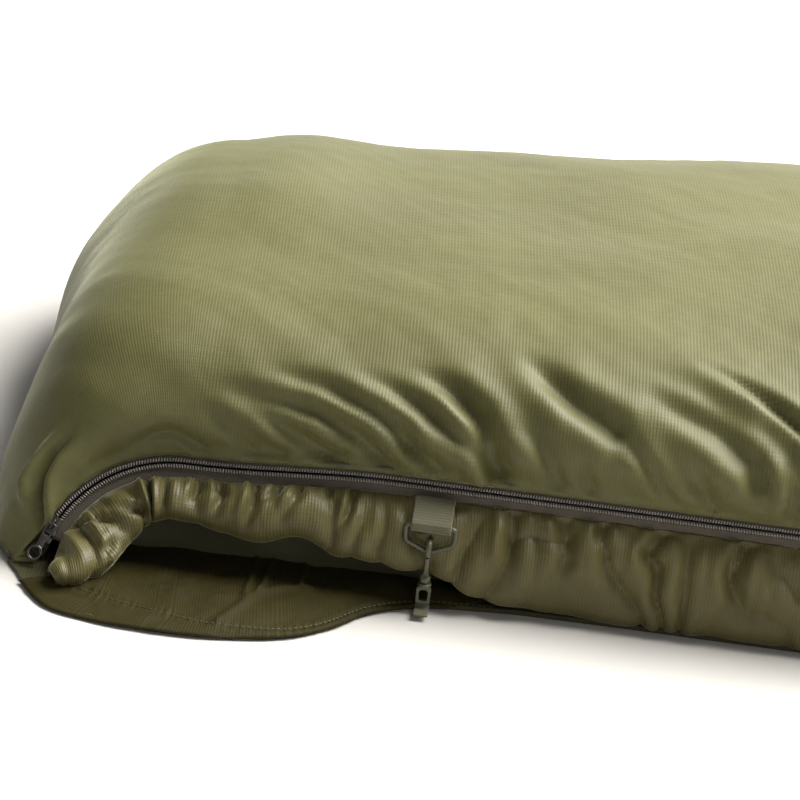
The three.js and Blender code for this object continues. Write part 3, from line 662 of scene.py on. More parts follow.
def cover_rows():
    """The plain dome: for each row the section from the zip over the crest to the far seam."""
    below, places = cover_stations()
    corner = np.array([-1083.0, -298.0, FLOOR_TOP])
    point, _, up, out = zip_place(places)
    near = point + up * 4.6 + out * 2.0
    angle = np.maximum(0.0, places / ZIP_START * 0.9) * (math.pi / 2)
    share = below / 0.253
    low_near = corner * column(1 - share) + near[0] * column(share)
    power = 2 / SECTION_POWER
    low_angle = np.arccos(below ** (1 / power))
    near = np.concatenate([low_near, near])
    angle = np.concatenate([low_angle, angle])
    s = np.concatenate([ZIP_START - 22.0 * (1 - share), places])
    rounded = 1 - np.sin(angle) ** power
    x = np.where(s > 0, near[:, 0], FOOT_X + END_ROUNDING * rounded)
    x[: len(below)] -= (FOOT_X - FOOT_SEAM_X) * (1 - share) ** 2
    far_x = np.where(s > 0, near[:, 0], FOOT_SEAM_X + (END_ROUNDING - 12.0) * rounded)
    crest = FOOT_CREST + (CHEST_CREST - FOOT_CREST) * smooth((x - FOOT_X) / 900)
    crest = crest - (CHEST_CREST - MOUTH_CREST) * smooth(x / MOUTH_X)
    height = FLOOR_TOP + (crest - FLOOR_TOP) * np.cos(angle) ** power
    fine = np.linspace(-math.pi / 2, math.pi / 2, 700)
    sideways = np.abs(np.sin(fine)) ** power
    upwards = np.abs(np.cos(fine)) ** power
    nearly = np.concatenate([np.linspace(0, 0.25, 71)[:-1], np.linspace(0.25, 1.0, 111)])
    rows = []
    for i in range(len(s)):
        far = np.array([far_x[i], float(far_half_width(far_x[i])), FLOOR_TOP])
        edge = np.where(column(fine < 0), near[i], far)
        line = np.empty((len(fine), 3))
        line[:, 0] = x[i] + (edge[:, 0] - x[i]) * sideways**6
        line[:, 1] = edge[:, 1] * sideways
        line[:, 2] = edge[:, 2] + (height[i] - edge[:, 2]) * upwards
        rows.append(resample(line, nearly))
    return np.stack(rows), s


def crease(s, t, path, width, depth, lift=0.55):
    """A fold along a path of (s, t) points: a valley with a soft ridge on each side."""
    path = np.asarray(path, float)
    best = np.full(s.shape, 1e9)
    side = np.zeros(s.shape)
    along = np.zeros(s.shape)
    lengths = np.concatenate([[0.0], np.cumsum(np.linalg.norm(np.diff(path, axis=0), axis=1))])
    for k in range(len(path) - 1):
        a, b = path[k], path[k + 1]
        step = b - a
        span = step.dot(step)
        l = np.clip(((s - a[0]) * step[0] + (t - a[1]) * step[1]) / span, 0, 1)
        ds, dt = s - a[0] - l * step[0], t - a[1] - l * step[1]
        gap = np.hypot(ds, dt)
        closer = gap < best
        best = np.where(closer, gap, best)
        side = np.where(closer, np.sign(step[0] * dt - step[1] * ds), side)
        along = np.where(closer, (lengths[k] + l * math.sqrt(span)) / lengths[-1], along)
    q = best * side / width
    fade = smooth(along / 0.12 + 0.35) * smooth((1 - along) / 0.55)
    shape = (
        -np.exp(-(q**2)) + lift * np.exp(-(((q - 1.9) / 1.2) ** 2))
        + 0.6 * lift * np.exp(-(((q + 1.9) / 1.3) ** 2))
    )
    return depth * fade * shape


COVER_FOLDS = [
    # path of (s, t) from the zip upwards, width, depth
    ([(124, 5), (106, 22), (78, 34), (36, 42), (0, 48)], 5.0, 6.5),
    ([(146, 10), (131, 27), (106, 39), (78, 50), (34, 59)], 5.0, 6.0),
    ([(194, 5), (180, 20), (160, 32), (140, 43), (118, 53), (92, 60)], 5.0, 6.5),
    ([(198, 4), (189, 22), (176, 42), (158, 56), (128, 70)], 6.5, 9.5),
    ([(268, 40), (258, 46), (236, 57), (218, 70), (194, 94)], 7.5, 8.0),
    ([(304, 3), (286, 24), (272, 37), (258, 47)], 4.0, 5.0),
    ([(356, 20), (346, 37), (322, 51), (298, 61), (268, 78)], 7.5, 8.5),
    ([(378, 3), (372, 24), (364, 38)], 4.5, 7.5),
    ([(374, 48), (356, 60), (340, 76)], 8.0, 4.0),
    ([(46, 3), (26, 21), (2, 33)], 4.0, 4.5),
    ([(92, 4), (68, 21), (42, 31), (16, 41)], 5.0, 5.5),
    ([(14, 3), (2, 11), (-12, 17), (-26, 14), (-44, 7)], 3.4, 3.6),
    ([(62, 3), (48, 13), (30, 26), (10, 33)], 3.6, 4.2),
    ([(160, 3), (152, 12), (138, 20), (116, 27)], 3.6, 4.5),
    ([(232, 3), (226, 18), (214, 34), (198, 46)], 5.0, 5.0),
    ([(252, 3), (247, 16), (236, 28)], 3.6, 4.0),
    ([(328, 3), (320, 18), (306, 32)], 4.5, 5.0),
]
FOOT_CREASE = [(-106, 2), (-98, 14), (-91, 23), (-80, 29), (-62, 33)]


def later_folds():
    """Folds like those near the foot, along the rest of the zip."""
    chance = np.random.default_rng(13)
    start = 405.0
    while start < ZIP_END - 30:
        reach = chance.uniform(35, 105)
        slant = chance.uniform(0.7, 1.7)
        path = [(start - slant * reach * k**1.5, 3 + reach * k) for k in (0.0, 0.25, 0.5, 0.75, 1.0)]
        yield path, chance.uniform(4.0, 8.0), chance.uniform(3.5, 8.0)
        start += chance.uniform(22, 62)


def cover_displacement(s, t, total):
    swell = Unevenness(3)
    drift = Unevenness(5)
    pucker = Unevenness(7)
    fine = Unevenness(9)
    bulge = 10.0 * smooth(t / 30) ** 0.8 * (1 - smooth((t - 45) / 165))
    slow = 4.5 * swell(s / 210, t / 160) + 1.8 * swell(s / 90 + 7, t / 70 + 3)
    high = smooth((t - 170) / 130)
    slow += high * (9.0 * np.exp(-(((s - 42) / 52) ** 2)) - 9.5 * np.exp(-(((s + 52) / 36) ** 2)))
    slow -= 6.0 * np.exp(-(((s + 84) / 26) ** 2)) * smooth(t / 60) * (1 - smooth((t - 190) / 140))
    slant = s + 0.9 * t
    seam = (
        1.9 * (np.abs(np.sin(math.pi * (slant / 10.5 + 0.9 * pucker(slant / 26, t / 30)))) ** 0.7 - 0.6)
        * np.exp(-t / 11)
    )
    gathers = 3.3 * pucker(slant / 21 + 11, t / 90) * np.exp(-t / 42)
    long_folds = 1.6 * drift((s + 1.2 * t) / 38, (t - 0.6 * s) / 190) * np.exp(-(((t - 70) / 100) ** 2))
    crumple = 0.25 * fine(s / 13, t / 17) + 0.15 * fine(slant / 7 + 3, t / 25)
    far = total - t
    far_gathers = 1.8 * pucker((s - 0.6 * far) / 9 + 31, far / 50) * np.exp(-far / 26) * smooth(far / 4)
    edge = smooth(t / 10) * smooth(far / 25)
    d = bulge + (slow + long_folds + crumple) * edge + (gathers + seam) * smooth(t / 2.5) + far_gathers
    for path, width, depth in [*COVER_FOLDS, *later_folds()]:
        d = d + crease(s, t, path, width, depth) * smooth(t / 5 + 0.3)
    d = d + crease(s, t, FOOT_CREASE, 3.2, 12.0, 0.6) * smooth((s + 106) / 8)
    # The cover stays back from the tape where the head slider runs.
    return d - np.maximum(d, 0) * 0.95 * np.exp(-((t / 6) ** 2)) * smooth((s - 185) / 15)


def make_cover():
    grid, stations = cover_rows()
    t = arc_lengths(grid, 1)
    total = t[:, -1:]
    s = np.broadcast_to(stations[:, None], t.shape)
    normals = grid_normals(grid)
    outer = grid + normals * cover_displacement(s, t, total)[..., None]
    outer[..., 2] = np.maximum(outer[..., 2], FLOOR_TOP)
    lengths = arc_lengths(grid, 0)
    uv = np.stack([lengths[:, 90:91] + 0 * t, t], 2)
    inner = grid - normals * FILLING
    inner[..., 2] = np.maximum(inner[..., 2], FLOOR_TOP + 1.0)
    outer = outer if outer.shape[0] % 2 else outer[:-1]
    piece = closed_pad(
        "top_quilt", outer, inner[: outer.shape[0]][::2, ::2], uv[: outer.shape[0]],
        [COVER_CLOTH, LINING_CLOTH]
    )
    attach(piece, "sack")
    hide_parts("top_quilt_shell", "top_quilt_fill", "top_quilt_lining")
    return piece


# ---- gathered side panel with its rolled lip and the slack on the floor ----
LIP_KEYS = [-130, -117, -104, -80, -55, -30, 0, 30, 52, 75, 95, 115, 140, 165, 205, 260, 320]
LIP_LINE = [
    (-1051, -332, 7), (-1044, -336, 8), (-1034, -329, 9), (-1021, -314, 14), (-1009, -298, 27),
    (-1001, -287, 35),
    (-981, -285, 39), (-951, -287, 34), (-929, -288, 32), (-906, -290, 39), (-886, -291, 31),
    (-866, -292, 30), (-841, -293, 26), (-816, -292, 20), (-776, -288, 9), (-721, -287, 5), (-662, -291, 4),
]
SEAM_KEYS = [-130, -104, -70, -30, 0, 30, 60, 90, 120, 150, 200, 260]
SEAM_LINE = [
    (-1060, -318, 6), (-1040, -331, 6), (-1016, -344, 6), (-985, -354, 6), (-964, -361, 6), (-938, -363, 6),
    (-908, -357, 5), (-884, -340, 5), (-862, -313, 5), (-836, -296, 5), (-781, -287, 4), (-721, -288, 4),
]
EDGE_LINE = [
    (-1075, -322, 2.5), (-1057, -353, 2.5), (-1026, -368, 2.5), (-992, -374, 2.5), (-966, -375, 2.5),
    (-938, -372, 2.5),
    (-907, -362, 2.5), (-882, -343, 2.5), (-861, -316, 2.5), (-836, -299, 2.5), (-781, -290, 2.5),
    (-721, -291, 2.5),
]
TAIL = 26.0


def panel_corners(s):
    """Corner points of the panel's section at each station, from the zip's tape down to the floor's edge."""
    point, _, up, out = zip_place(np.maximum(s, ZIP_START))
    top = point - up * WALL_EDGE + out * 0.6
    tail = column(smooth((ZIP_START - s) / TAIL))
    top = top * (1 - tail) + np.array([-1057.0, -322.0, 8.0]) * tail
    lip = through(LIP_KEYS, LIP_LINE, s)
    lip = lip + column(np.maximum(s - 320.0, 0.0)) * ALONG
    reach = unit(np.cross(np.gradient(lip, axis=0), top - lip))
    outward = np.where(column(reach[:, 1] > 0), -reach, reach)
    full = column(np.interp(s, [-130, -117, -104, -60, 0, 165, 300, 600], [6, 12, 14, 14, 14, 13, 12, 10]))
    inward = -WALL_OUT
    back_x = (
        np.interp(s, [-130, -104, 0, 130, 320], [-1040, -1028, -968, -858, -662])
        + np.maximum(s - 320, 0) * ALONG[0]
    )
    back = np.stack([back_x, -half_width(back_x) + 20.0, np.full(len(s), 22.0)], 1)
    low = back + np.array([0.0, 3.0, -13.0])
    seam = through(SEAM_KEYS, SEAM_LINE, s) + column(np.maximum(s - 260.0, 0.0)) * ALONG
    edge = through(SEAM_KEYS, EDGE_LINE, s) + column(np.maximum(s - 260.0, 0.0)) * ALONG
    ground = low * 0.5 + seam * 0.5
    ground[:, 2] = 8.5
    rolled = [
        top,
        top * 0.78 + lip * 0.22 + outward * full * 0.66,
        top * 0.5 + lip * 0.5 + outward * full,
        top * 0.2 + lip * 0.8 + outward * full,
        lip + outward * full * 0.55,
        lip + inward * 4.0 - [0, 0, 1.5],
        lip + inward * 16.0 + [0, 0, 3.0],
        back,
        low,
        low * 0.72 + ground * 0.28 - [0, 0, 2.0],
        ground,
        ground * 0.4 + seam * 0.6 + [0, 0, 1.0],
        seam,
        edge * 0.6 + seam * 0.4 + [0, 0, 0.8],
        edge,
    ]
    x = lip[:, 0]
    under = np.stack([x, -half_width(x) + 4.0, np.full(len(s), FLOOR_TOP + 0.4)], 1)
    tucked = [
        top,
        top * 0.78 + lip * 0.22 + outward * full * 0.75,
        top * 0.5 + lip * 0.5 + outward * full,
        top * 0.2 + lip * 0.8 + outward * full * 0.8,
        lip + outward * 1.5,
    ] + [under + inward * 3.2 * k for k in range(10)]
    straight = smooth((s - 165.0) / 80.0)[:, None, None]
    return np.stack(rolled, 1) * (1 - straight) + np.stack(tucked, 1) * straight


def plan_ridge(grid, path, width, height):
    """How far a raised line on the floor cloth lifts each point, by its distance in plan."""
    best = np.full(grid.shape[:2], 1e9)
    path = np.asarray(path, float)
    for a, b in zip(path[:-1], path[1:]):
        step = b - a
        l = np.clip(((grid[..., :2] - a) @ step) / step.dot(step), 0, 1)
        best = np.minimum(best, np.linalg.norm(grid[..., :2] - a - l[..., None] * step, axis=-1))
    return height * np.exp(-((best / width) ** 2))


PANEL_PLEATS = [
    # path of (s, distance below the tape), width, depth
    ([(9, 0), (8, 12), (3, 26)], 2.6, 4.0),
    ([(21, 0), (25, 13), (20, 30)], 2.8, 5.5),
    ([(45, 0), (44, 15), (37, 36)], 3.2, 6.0),
    ([(60, 0), (58, 14)], 2.2, 3.5),
    ([(73, 0), (71, 16), (64, 30)], 2.4, 4.0),
    ([(90, 0), (88, 12)], 2.2, 3.2),
    ([(106, 0), (104, 18), (96, 34)], 2.6, 4.5),
    ([(150, 0), (152, 14), (140, 30)], 3.2, 5.5),
    ([(206, 0), (203, 22), (206, 44)], 4.8, 3.8),
    ([(236, 0), (242, 26), (230, 50)], 5.4, 4.2),
    ([(262, 0), (257, 20)], 3.6, 3.6),
    ([(300, 0), (291, 18), (303, 40)], 4.4, 4.6),
    ([(352, 0), (345, 24), (354, 52)], 4.8, 4.8),
]
FELLED_SEAM = [(-932, -262), (-933, -290), (-936, -322)]
FELLED_SEAM_EDGE = [(-922, -262), (-924, -290), (-928, -316)]
FLOOR_TUCK = [(-902, -262), (-902, -298)]
FLOOR_CREASE = [(-950, -360), (-938, -338), (-929, -316), (-914, -306), (-898, -300)]
FLOOR_WRINKLE = [(-990, -322), (-958, -330), (-935, -327)]


PANEL_COLUMNS = 96


def panel_stations():
    foot = np.arange(ZIP_START - TAIL, 240.0, 1.8)
    seen = np.arange(240.0, 420.0, 2.1)
    return np.concatenate([foot, seen, np.linspace(420.0, zip_at(MOUTH_X), 330)])


def make_side_panel():
    s_row = panel_stations()
    grid = rounded_line(panel_corners(s_row), PANEL_COLUMNS)
    q = arc_lengths(grid, 1)
    lip = through(LIP_KEYS, LIP_LINE, s_row) + column(np.maximum(s_row - 320.0, 0.0)) * ALONG
    drop = np.linalg.norm(lip - grid[:, 0], axis=1)[:, None] * 1.15 + 6.0
    share = q / drop
    s = np.broadcast_to(s_row[:, None], q.shape)
    normals = -grid_normals(grid)
    warp, twist, fine, slack = Unevenness(21), Unevenness(23), Unevenness(25), Unevenness(27)
    hang = smooth(share / 0.3) * (1 - 0.65 * smooth((share - 0.7) / 0.25)) * (1 - smooth((share - 1.0) / 0.4))
    straight = smooth((s - 200) / 80)
    # Soft vertical puffs between pleats, which are sharp where they leave the tape.
    turn = s / (25.0 + 6.0 * straight) + 1.1 * warp(s / 47, q / 70) + 0.30 * twist(s / 30, q / 22) + 0.006 * q
    puffs = np.abs(np.sin(math.pi * turn)) ** 0.75
    second = np.abs(np.sin(math.pi * (s / 13.5 + 0.8 * warp(s / 31 + 9, q / 50 + 3)))) ** 0.8
    body = (
        (8.5 * puffs - 5.2) * (0.62 + 0.48 * twist(s / 34 + 3, q / 60))
        + (2.2 * second - 1.2) * (1.1 - np.clip(share, 0, 1))
    )
    body += 1.5 * twist(s / 21 + 5, q / 17 + 8)
    seam_turn = s / 7.6 + 0.8 * fine(s / 19, q / 40)
    puckers = 1.5 * (np.abs(np.sin(math.pi * seam_turn)) ** 0.6 - 0.62) * np.exp(-q / 10) * smooth(q / 1.6)
    floor_part = smooth((share - 1.25) / 0.5)
    near_foot = smooth((260 - s) / 60)
    ground = 1.1 * slack(s / 30, q / 26) + 0.8 * slack((s + q) / 12, (s - q) / 40)
    end = smooth((s - s_row[0]) / 14)
    d = (body * hang + puckers) * end + ground * floor_part * near_foot + 0.2 * fine(s / 6, q / 6)
    d += crease(s, q, [(-27, 2), (-29, 22), (-31, 44)], 3.0, 9.0, 0.5) * (1 - smooth((share - 0.95) / 0.2))
    d += crease(s, q, [(-33, 30), (-52, 26), (-66, 16)], 3.0, 4.0, 0.5) * hang
    d += crease(s, q, [(-92, 12), (-74, 22), (-52, 34)], 2.6, 4.5, 0.5) * hang
    d += crease(s, q, [(-84, 44), (-66, 40)], 2.6, 5.0, 0.7) * smooth((1.15 - share) / 0.1)
    for path, width, depth in PANEL_PLEATS:
        d += crease(s, q, path, width, depth, 0.7) * smooth(q / 3) * (1 - smooth((share - 0.9) / 0.25))
    behind_hook = np.exp(-(((s - zip_at(TAB_X)) / 14) ** 2))
    d -= 4.5 * behind_hook * smooth((share - 0.3) / 0.25) * (1 - smooth((share - 1.1) / 0.2))
    seam_line = through(SEAM_KEYS, SEAM_LINE, s_row)
    lift = plan_ridge(grid, FELLED_SEAM, 1.9, 3.4) + plan_ridge(grid, FELLED_SEAM_EDGE, 1.9, 3.0)
    lift += (
        plan_ridge(grid, FLOOR_TUCK, 2.0, 3.2) + plan_ridge(grid, FLOOR_CREASE, 3.2, 2.4)
        + plan_ridge(grid, FLOOR_WRINKLE, 3.5, 1.6)
    )
    puckered = plan_ridge(grid, seam_line[s_row < 255][::6, :2], 4.5, 1.0)
    stitched = plan_ridge(grid, seam_line[s_row < 255][::6, :2], 1.5, 1.0)
    lift += puckered * 1.5 * np.abs(np.sin(math.pi * (s / 5.4 + fine(s / 17, q / 30)))) - 1.6 * stitched
    d += lift * smooth((share - 1.15) / 0.3)
    grid = grid + normals * d[..., None]
    grid[..., 2] = np.maximum(grid[..., 2], np.minimum(FLOOR_TOP, 2.4))
    along = arc_lengths(grid, 0)
    uv = np.stack([along[:, 12:13] + 0 * q, q], 2)
    piece = sheet_piece("side_panel", grid, uv, BAND_CLOTH, 0.9, flip=True)
    # The cloth under the lip and on the floor flap takes the darker copy of the ripstop: painted shade.
    piece.data.materials.append(FLAP_PAINTED_SHADE_CLOTH)
    under_lip_painted_shade = (share[:-1, :-1] > 1.12) & (s_row[:-1, None] < 230)
    piece.data.polygons.foreach_set("material_index", under_lip_painted_shade.astype(np.int32).ravel())
    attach(piece, "sack")
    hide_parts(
        "side_wall_shell", "side_wall_fill", "side_wall_foot_shell", "side_wall_foot_fill",
        "side_flap", "flap_seam"
    )
    seam = through(SEAM_KEYS, SEAM_LINE, np.arange(-126.0, 200.0, 4.0)) + [0, 0, 0.6]
    stitches("flap_stitches", seam, [0, 0, 1.0], 3.6, (2.5, 0.7, 0.6))
    return piece


# ---- repeated pieces on a line ----
def bead_rows():
    """A tree that sets one rounded bead at every point, turned to the point's own directions."""
    tree = bpy.data.node_groups.new("beads on a line", "GeometryNodeTree")
    tree.interface.new_socket("Geometry", in_out="INPUT", socket_type="NodeSocketGeometry")
    for label, value in {"Length": 0.001, "Width": 0.001, "Height": 0.001}.items():
        socket = tree.interface.new_socket(label, in_out="INPUT", socket_type="NodeSocketFloat")
        socket.default_value = value
    for label, value in {"Segments": 8, "Rings": 5}.items():
        socket = tree.interface.new_socket(label, in_out="INPUT", socket_type="NodeSocketInt")
        socket.default_value = value
    tree.interface.new_socket("Material", in_out="INPUT", socket_type="NodeSocketMaterial")
    tree.interface.new_socket("Geometry", in_out="OUTPUT", socket_type="NodeSocketGeometry")
    given = tree.nodes.new("NodeGroupInput")
    result = tree.nodes.new("NodeGroupOutput")
    bead = node(
        tree, "GeometryNodeMeshUVSphere",
        {"Segments": given.outputs["Segments"], "Rings": given.outputs["Rings"], "Radius": 0.5}
    )
    upright = node(
        tree, "GeometryNodeTransform", {"Geometry": bead.outputs[0], "Rotation": (0.0, math.pi / 2, 0.0)}
    )
    scale = node(
        tree, "ShaderNodeCombineXYZ",
        {0: given.outputs["Length"], 1: given.outputs["Width"], 2: given.outputs["Height"]}
    )
    ahead = node(tree, "GeometryNodeInputNamedAttribute", {"Name": "ahead"}, data_type="FLOAT_VECTOR")
    out = node(tree, "GeometryNodeInputNamedAttribute", {"Name": "out"}, data_type="FLOAT_VECTOR")
    turn = node(
        tree, "FunctionNodeAxesToRotation", {0: ahead.outputs[0], 1: out.outputs[0]}, primary_axis="X",
        secondary_axis="Z"
    )
    placed = node(
        tree,
        "GeometryNodeInstanceOnPoints",
        {
            "Points": given.outputs["Geometry"], "Instance": upright.outputs[0],
            "Rotation": turn.outputs[0], "Scale": scale.outputs[0]
        },
    )
    real = node(tree, "GeometryNodeRealizeInstances", {"Geometry": placed.outputs[0]})
    painted = node(
        tree, "GeometryNodeSetMaterial",
        {"Geometry": real.outputs[0], "Material": given.outputs["Material"]}
    )
    tree.links.new(painted.outputs[0], result.inputs[0])
    return tree


BEADS = bead_rows()


def beads(name, points, ahead, out, size, material, segments=8, rings=5):
    """Beads of size (length, width, height) in millimetres on points, as one plain mesh."""
    mesh = bpy.data.meshes.new(name)
    mesh.from_pydata((np.asarray(points) * 0.001).tolist(), [], [])
    for label, vectors in (("ahead", ahead), ("out", out)):
        layer = mesh.attributes.new(label, "FLOAT_VECTOR", "POINT")
        layer.data.foreach_set("vector", np.asarray(vectors, dtype=np.float32).ravel())
    piece = bpy.data.objects.new(name, mesh)
    bpy.context.collection.objects.link(piece)
    modifier = piece.modifiers.new("Beads", "NODES")
    modifier.node_group = BEADS
    values = {"Length": size[0] * 0.001, "Width": size[1] * 0.001, "Height": size[2] * 0.001}
    values.update({"Segments": segments, "Rings": rings, "Material": material})
    for socket in BEADS.interface.items_tree:
        if socket.in_out == "INPUT" and socket.name in values:
            modifier[socket.identifier] = values[socket.name]
    ready = piece.evaluated_get(bpy.context.evaluated_depsgraph_get())
    plain = bpy.data.meshes.new_from_object(ready)
    piece.modifiers.clear()
    piece.data = plain
    plain.polygons.foreach_set("use_smooth", [True] * len(plain.polygons))
    return piece


def stitches(name, line, out, pitch, size, material=None):
    """A run of machine stitches along a line."""
    line = fine_line(line, 0.7)
    length = np.linalg.norm(np.diff(line, axis=0), axis=1).sum()
    spots = resample(line, np.linspace(0, 1, int(length / pitch)))
    ahead = unit(np.gradient(spots, axis=0))
    out = np.broadcast_to(np.asarray(out, float), spots.shape)
    piece = beads(name, spots, ahead, out, size, material or THREAD, 6, 4)
    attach(piece, "sack")
    return piece


# ---- zip ----
def zip_line(offset_up, offset_out, step, first=ZIP_START, last=ZIP_END):
    s = np.arange(first, last, step)
    point, ahead, up, out = zip_place(s)
    return point + up * offset_up + out * offset_out, ahead, up, out, s


def zip_tape(name, inner, outer, wave, replaced):
    """One tape: a woven strip that puckers a little at its sewn edge."""
    line, _, up, out, s = zip_line(0.0, 0.0, 2.6)
    sign = 1.0 if outer > inner else -1.0
    ups = np.linspace(inner, outer, 7)
    ripple = Unevenness(31 if sign > 0 else 37)
    top = []
    for u in ups:
        near_edge = smooth((abs(u) - 4.0) / 4.0)
        lift = 0.45 + wave * near_edge * ripple(s / 7.5, s * 0 + u)
        top.append(line + up * u + out * column(lift))
    grid = np.stack(top, 1)
    lengths = arc_lengths(grid, 0)
    uv = np.stack([lengths, np.broadcast_to(ups, lengths.shape)], 2)
    piece = sheet_piece(name, grid, uv, ZIP_TAPE, 0.8, flip=sign < 0)
    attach(piece, "sack")
    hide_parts(replaced)
    return piece


def make_zip():
    zip_tape("upper_tape", 0.75, 7.5, 0.25, "zip_tape_upper")
    zip_tape("lower_tape", -0.75, -10.6, 0.5, "zip_tape_lower")
    for side, sign in (("upper", 1.0), ("lower", -1.0)):
        s = np.arange(ZIP_START + 1.0, ZIP_END - 1.0, TOOTH_PITCH)
        s = s + (TOOTH_PITCH / 2 if sign > 0 else 0.0)
        point, ahead, up, out = zip_place(s)
        slanted = unit(up * 1.0 + ahead * 0.22 * sign)
        spots = point + up * (1.95 * sign) + out * 1.8
        coil = beads("coil_" + side, spots, slanted, out, (2.9, 1.2, 2.1), COIL, 8, 5)
        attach(coil, "sack")
        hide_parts("zip_coil_" + side)
        # Each coil row gets the near-black cord: a real part whose dark colour is painted shade in the coil's
        # core.
        line, _, _, _, _ = zip_line(0.95 * sign, 1.3, 4.0)
        core = tube("coil_cord_" + side, line, 0.5, 6, COIL_CORE)
        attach(core, "sack")
        edge, _, _, out, _ = zip_line(4.2 * sign, 0.9, 3.0)
        stitches("coil_stitches_" + side, edge, out[0] * 0 + WALL_OUT, 2.6, (1.9, 0.5, 0.5))


# ---- floor sheet ----
def hood_plan(turn, inset=0.0):
    a = (np.asarray(turn, float) - 0.5) * math.pi
    side = np.where(a < 0, half_width(MOUTH_X), far_half_width(MOUTH_X))
    x = HOOD_START + (HEAD_X - inset - HOOD_START) * np.abs(np.cos(a)) ** (2 / 2.4)
    y = np.sign(a) * (side - inset) * np.abs(np.sin(a)) ** (2 / 2.4)
    return np.stack([x, y], -1)


def floor_outline():
    far = np.linspace(0, math.pi / 2, 14)
    x = FOOT_SEAM_X + FAR_CORNER * (1 - np.cos(far))
    corner = np.stack([x, far_half_width(x) + 1.0], 1)[::-1]
    s = np.linspace(SEAM_KEYS[0], SEAM_KEYS[-1], 90)
    front = through(SEAM_KEYS, EDGE_LINE, s)[:, :2] + np.array([1.0, 4.0])
    foot = np.array([[FOOT_SEAM_X - 1, -262.0], [-1086.0, -292.0], [-1078.0, -308.0]])
    side = np.array([[-700.0, -float(half_width(-700)) - 2], [0.0, -float(half_width(0)) - 2]])
    hood = hood_plan(np.linspace(0, 1, 50), -1.5)
    return np.concatenate([corner, foot, front, side, hood])


def make_floor():
    outline = floor_outline()
    count = len(outline)
    low = np.column_stack([outline, np.zeros(count)])
    high = np.column_stack([outline, np.full(count, 3.0)])
    faces = [list(range(count)), [count + k for k in range(count)][::-1]]
    faces += [[k, k + count, (k + 1) % count + count, (k + 1) % count] for k in range(count)]
    points = np.concatenate([low, high])
    piece = face_out(
        new_piece("floor_sheet", points, faces, [FLOOR_CLOTH], points[:, :2], smooth_shading=False)
    )
    work = bmesh.new()
    work.from_mesh(piece.data)
    bmesh.ops.triangulate(work, faces=[f for f in work.faces if len(f.verts) > 4])
    work.to_mesh(piece.data)
    work.free()
    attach(piece, "sack")
    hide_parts("ground_sheet")


# ---- side lining, mat and draft tube ----
def make_side_lining():
    s = np.concatenate([np.linspace(-74.0, 130.0, 40), np.linspace(135.0, zip_at(MOUTH_X), 160)])
    point, _, up, _ = zip_place(s)
    top = point - up * 10.0
    foot = top.copy()
    foot[:, 2] = FLOOR_TOP + 0.5
    loose = Unevenness(41)
    columns = np.linspace(0, 1, 16)
    grid = top[:, None] * (1 - columns[None, :, None]) + foot[:, None] * columns[None, :, None]
    swell = (
        2.0 * np.sin(math.pi * columns)[None]
        + 1.6 * loose(s[:, None] / 26, columns[None] * 3) * np.sin(math.pi * columns)[None]
    )
    grid = grid - (WALL_OUT * (FILLING - 2.0 + swell)[..., None])
    q = arc_lengths(grid, 1)
    uv = np.stack([arc_lengths(grid, 0)[:, :1] + 0 * q, q], 2)
    piece = sheet_piece("side_lining", grid, uv, LINING_CLOTH, 0.8)
    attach(piece, "sack")
    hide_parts("side_wall_lining", "side_wall_foot_lining")


def mat_plan(inset):
    far = np.linspace(0, math.pi / 2, 10)
    x = FOOT_SEAM_X + inset + (FAR_CORNER - inset) * (1 - np.cos(far))
    corner = np.stack([x, far_half_width(np.maximum(x, FOOT_SEAM_X)) - inset], 1)[::-1]
    foot = np.array(
        [[FOOT_SEAM_X + inset, -float(half_width(FOOT_X)) + 2 * inset], [-1047.0, -210.0], [-946.0, -230.0]]
    )
    side = np.array([[TAB_X, -float(half_width(TAB_X)) - 2 + inset]])
    hood = hood_plan(np.linspace(0, 1, 40), inset)
    return np.concatenate([corner, foot, side, hood])


def inside_rows(plan, count):
    """Even rows across a plan: for each x, the two sides of the plan."""
    x = np.linspace(plan[:, 0].min() + 2, plan[:, 0].max() - 2, count)
    ends = []
    for value in x:
        a, b = plan, np.roll(plan, -1, 0)
        crossing = (a[:, 0] - value) * (b[:, 0] - value) <= 0
        span = np.where(np.abs(b[:, 0] - a[:, 0]) < 1e-9, 1.0, b[:, 0] - a[:, 0])
        y = (a[:, 1] + (b[:, 1] - a[:, 1]) * (value - a[:, 0]) / span)[crossing]
        ends.append((y.min(), y.max()))
    return x, np.array(ends)


def make_mat():
    """The padded base, tufted in rows across."""
    x, ends = inside_rows(mat_plan(36.0), 241)
    v = np.linspace(0, 1, 81)
    y = ends[:, :1] * (1 - v) + ends[:, 1:] * v
    gx = np.broadcast_to(x[:, None], y.shape)
    puff = Unevenness(43)
    rows = np.abs(np.sin(math.pi * gx / 150.0)) ** 0.5
    sides = smooth(np.minimum(y - ends[:, :1], ends[:, 1:] - y) / 26)
    ends_in = smooth(np.minimum(gx - x[0], x[-1] - gx) / 26)
    z = 5.0 + 11.5 * rows * sides * ends_in + 1.2 * puff(gx / 40, y / 40) * sides
    outer = np.stack([gx, y, np.clip(z, 4.6, 18.6)], 2)
    inner = outer.copy()
    inner[..., 2] = FLOOR_TOP + 0.4
    uv = np.stack([gx, y], 2)
    piece = closed_pad("base_mat", outer, inner[::2, ::2], uv, [LINING_CLOTH, FLOOR_CLOTH])
    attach(piece, "sack")
    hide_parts("base_fill", "base_lining")


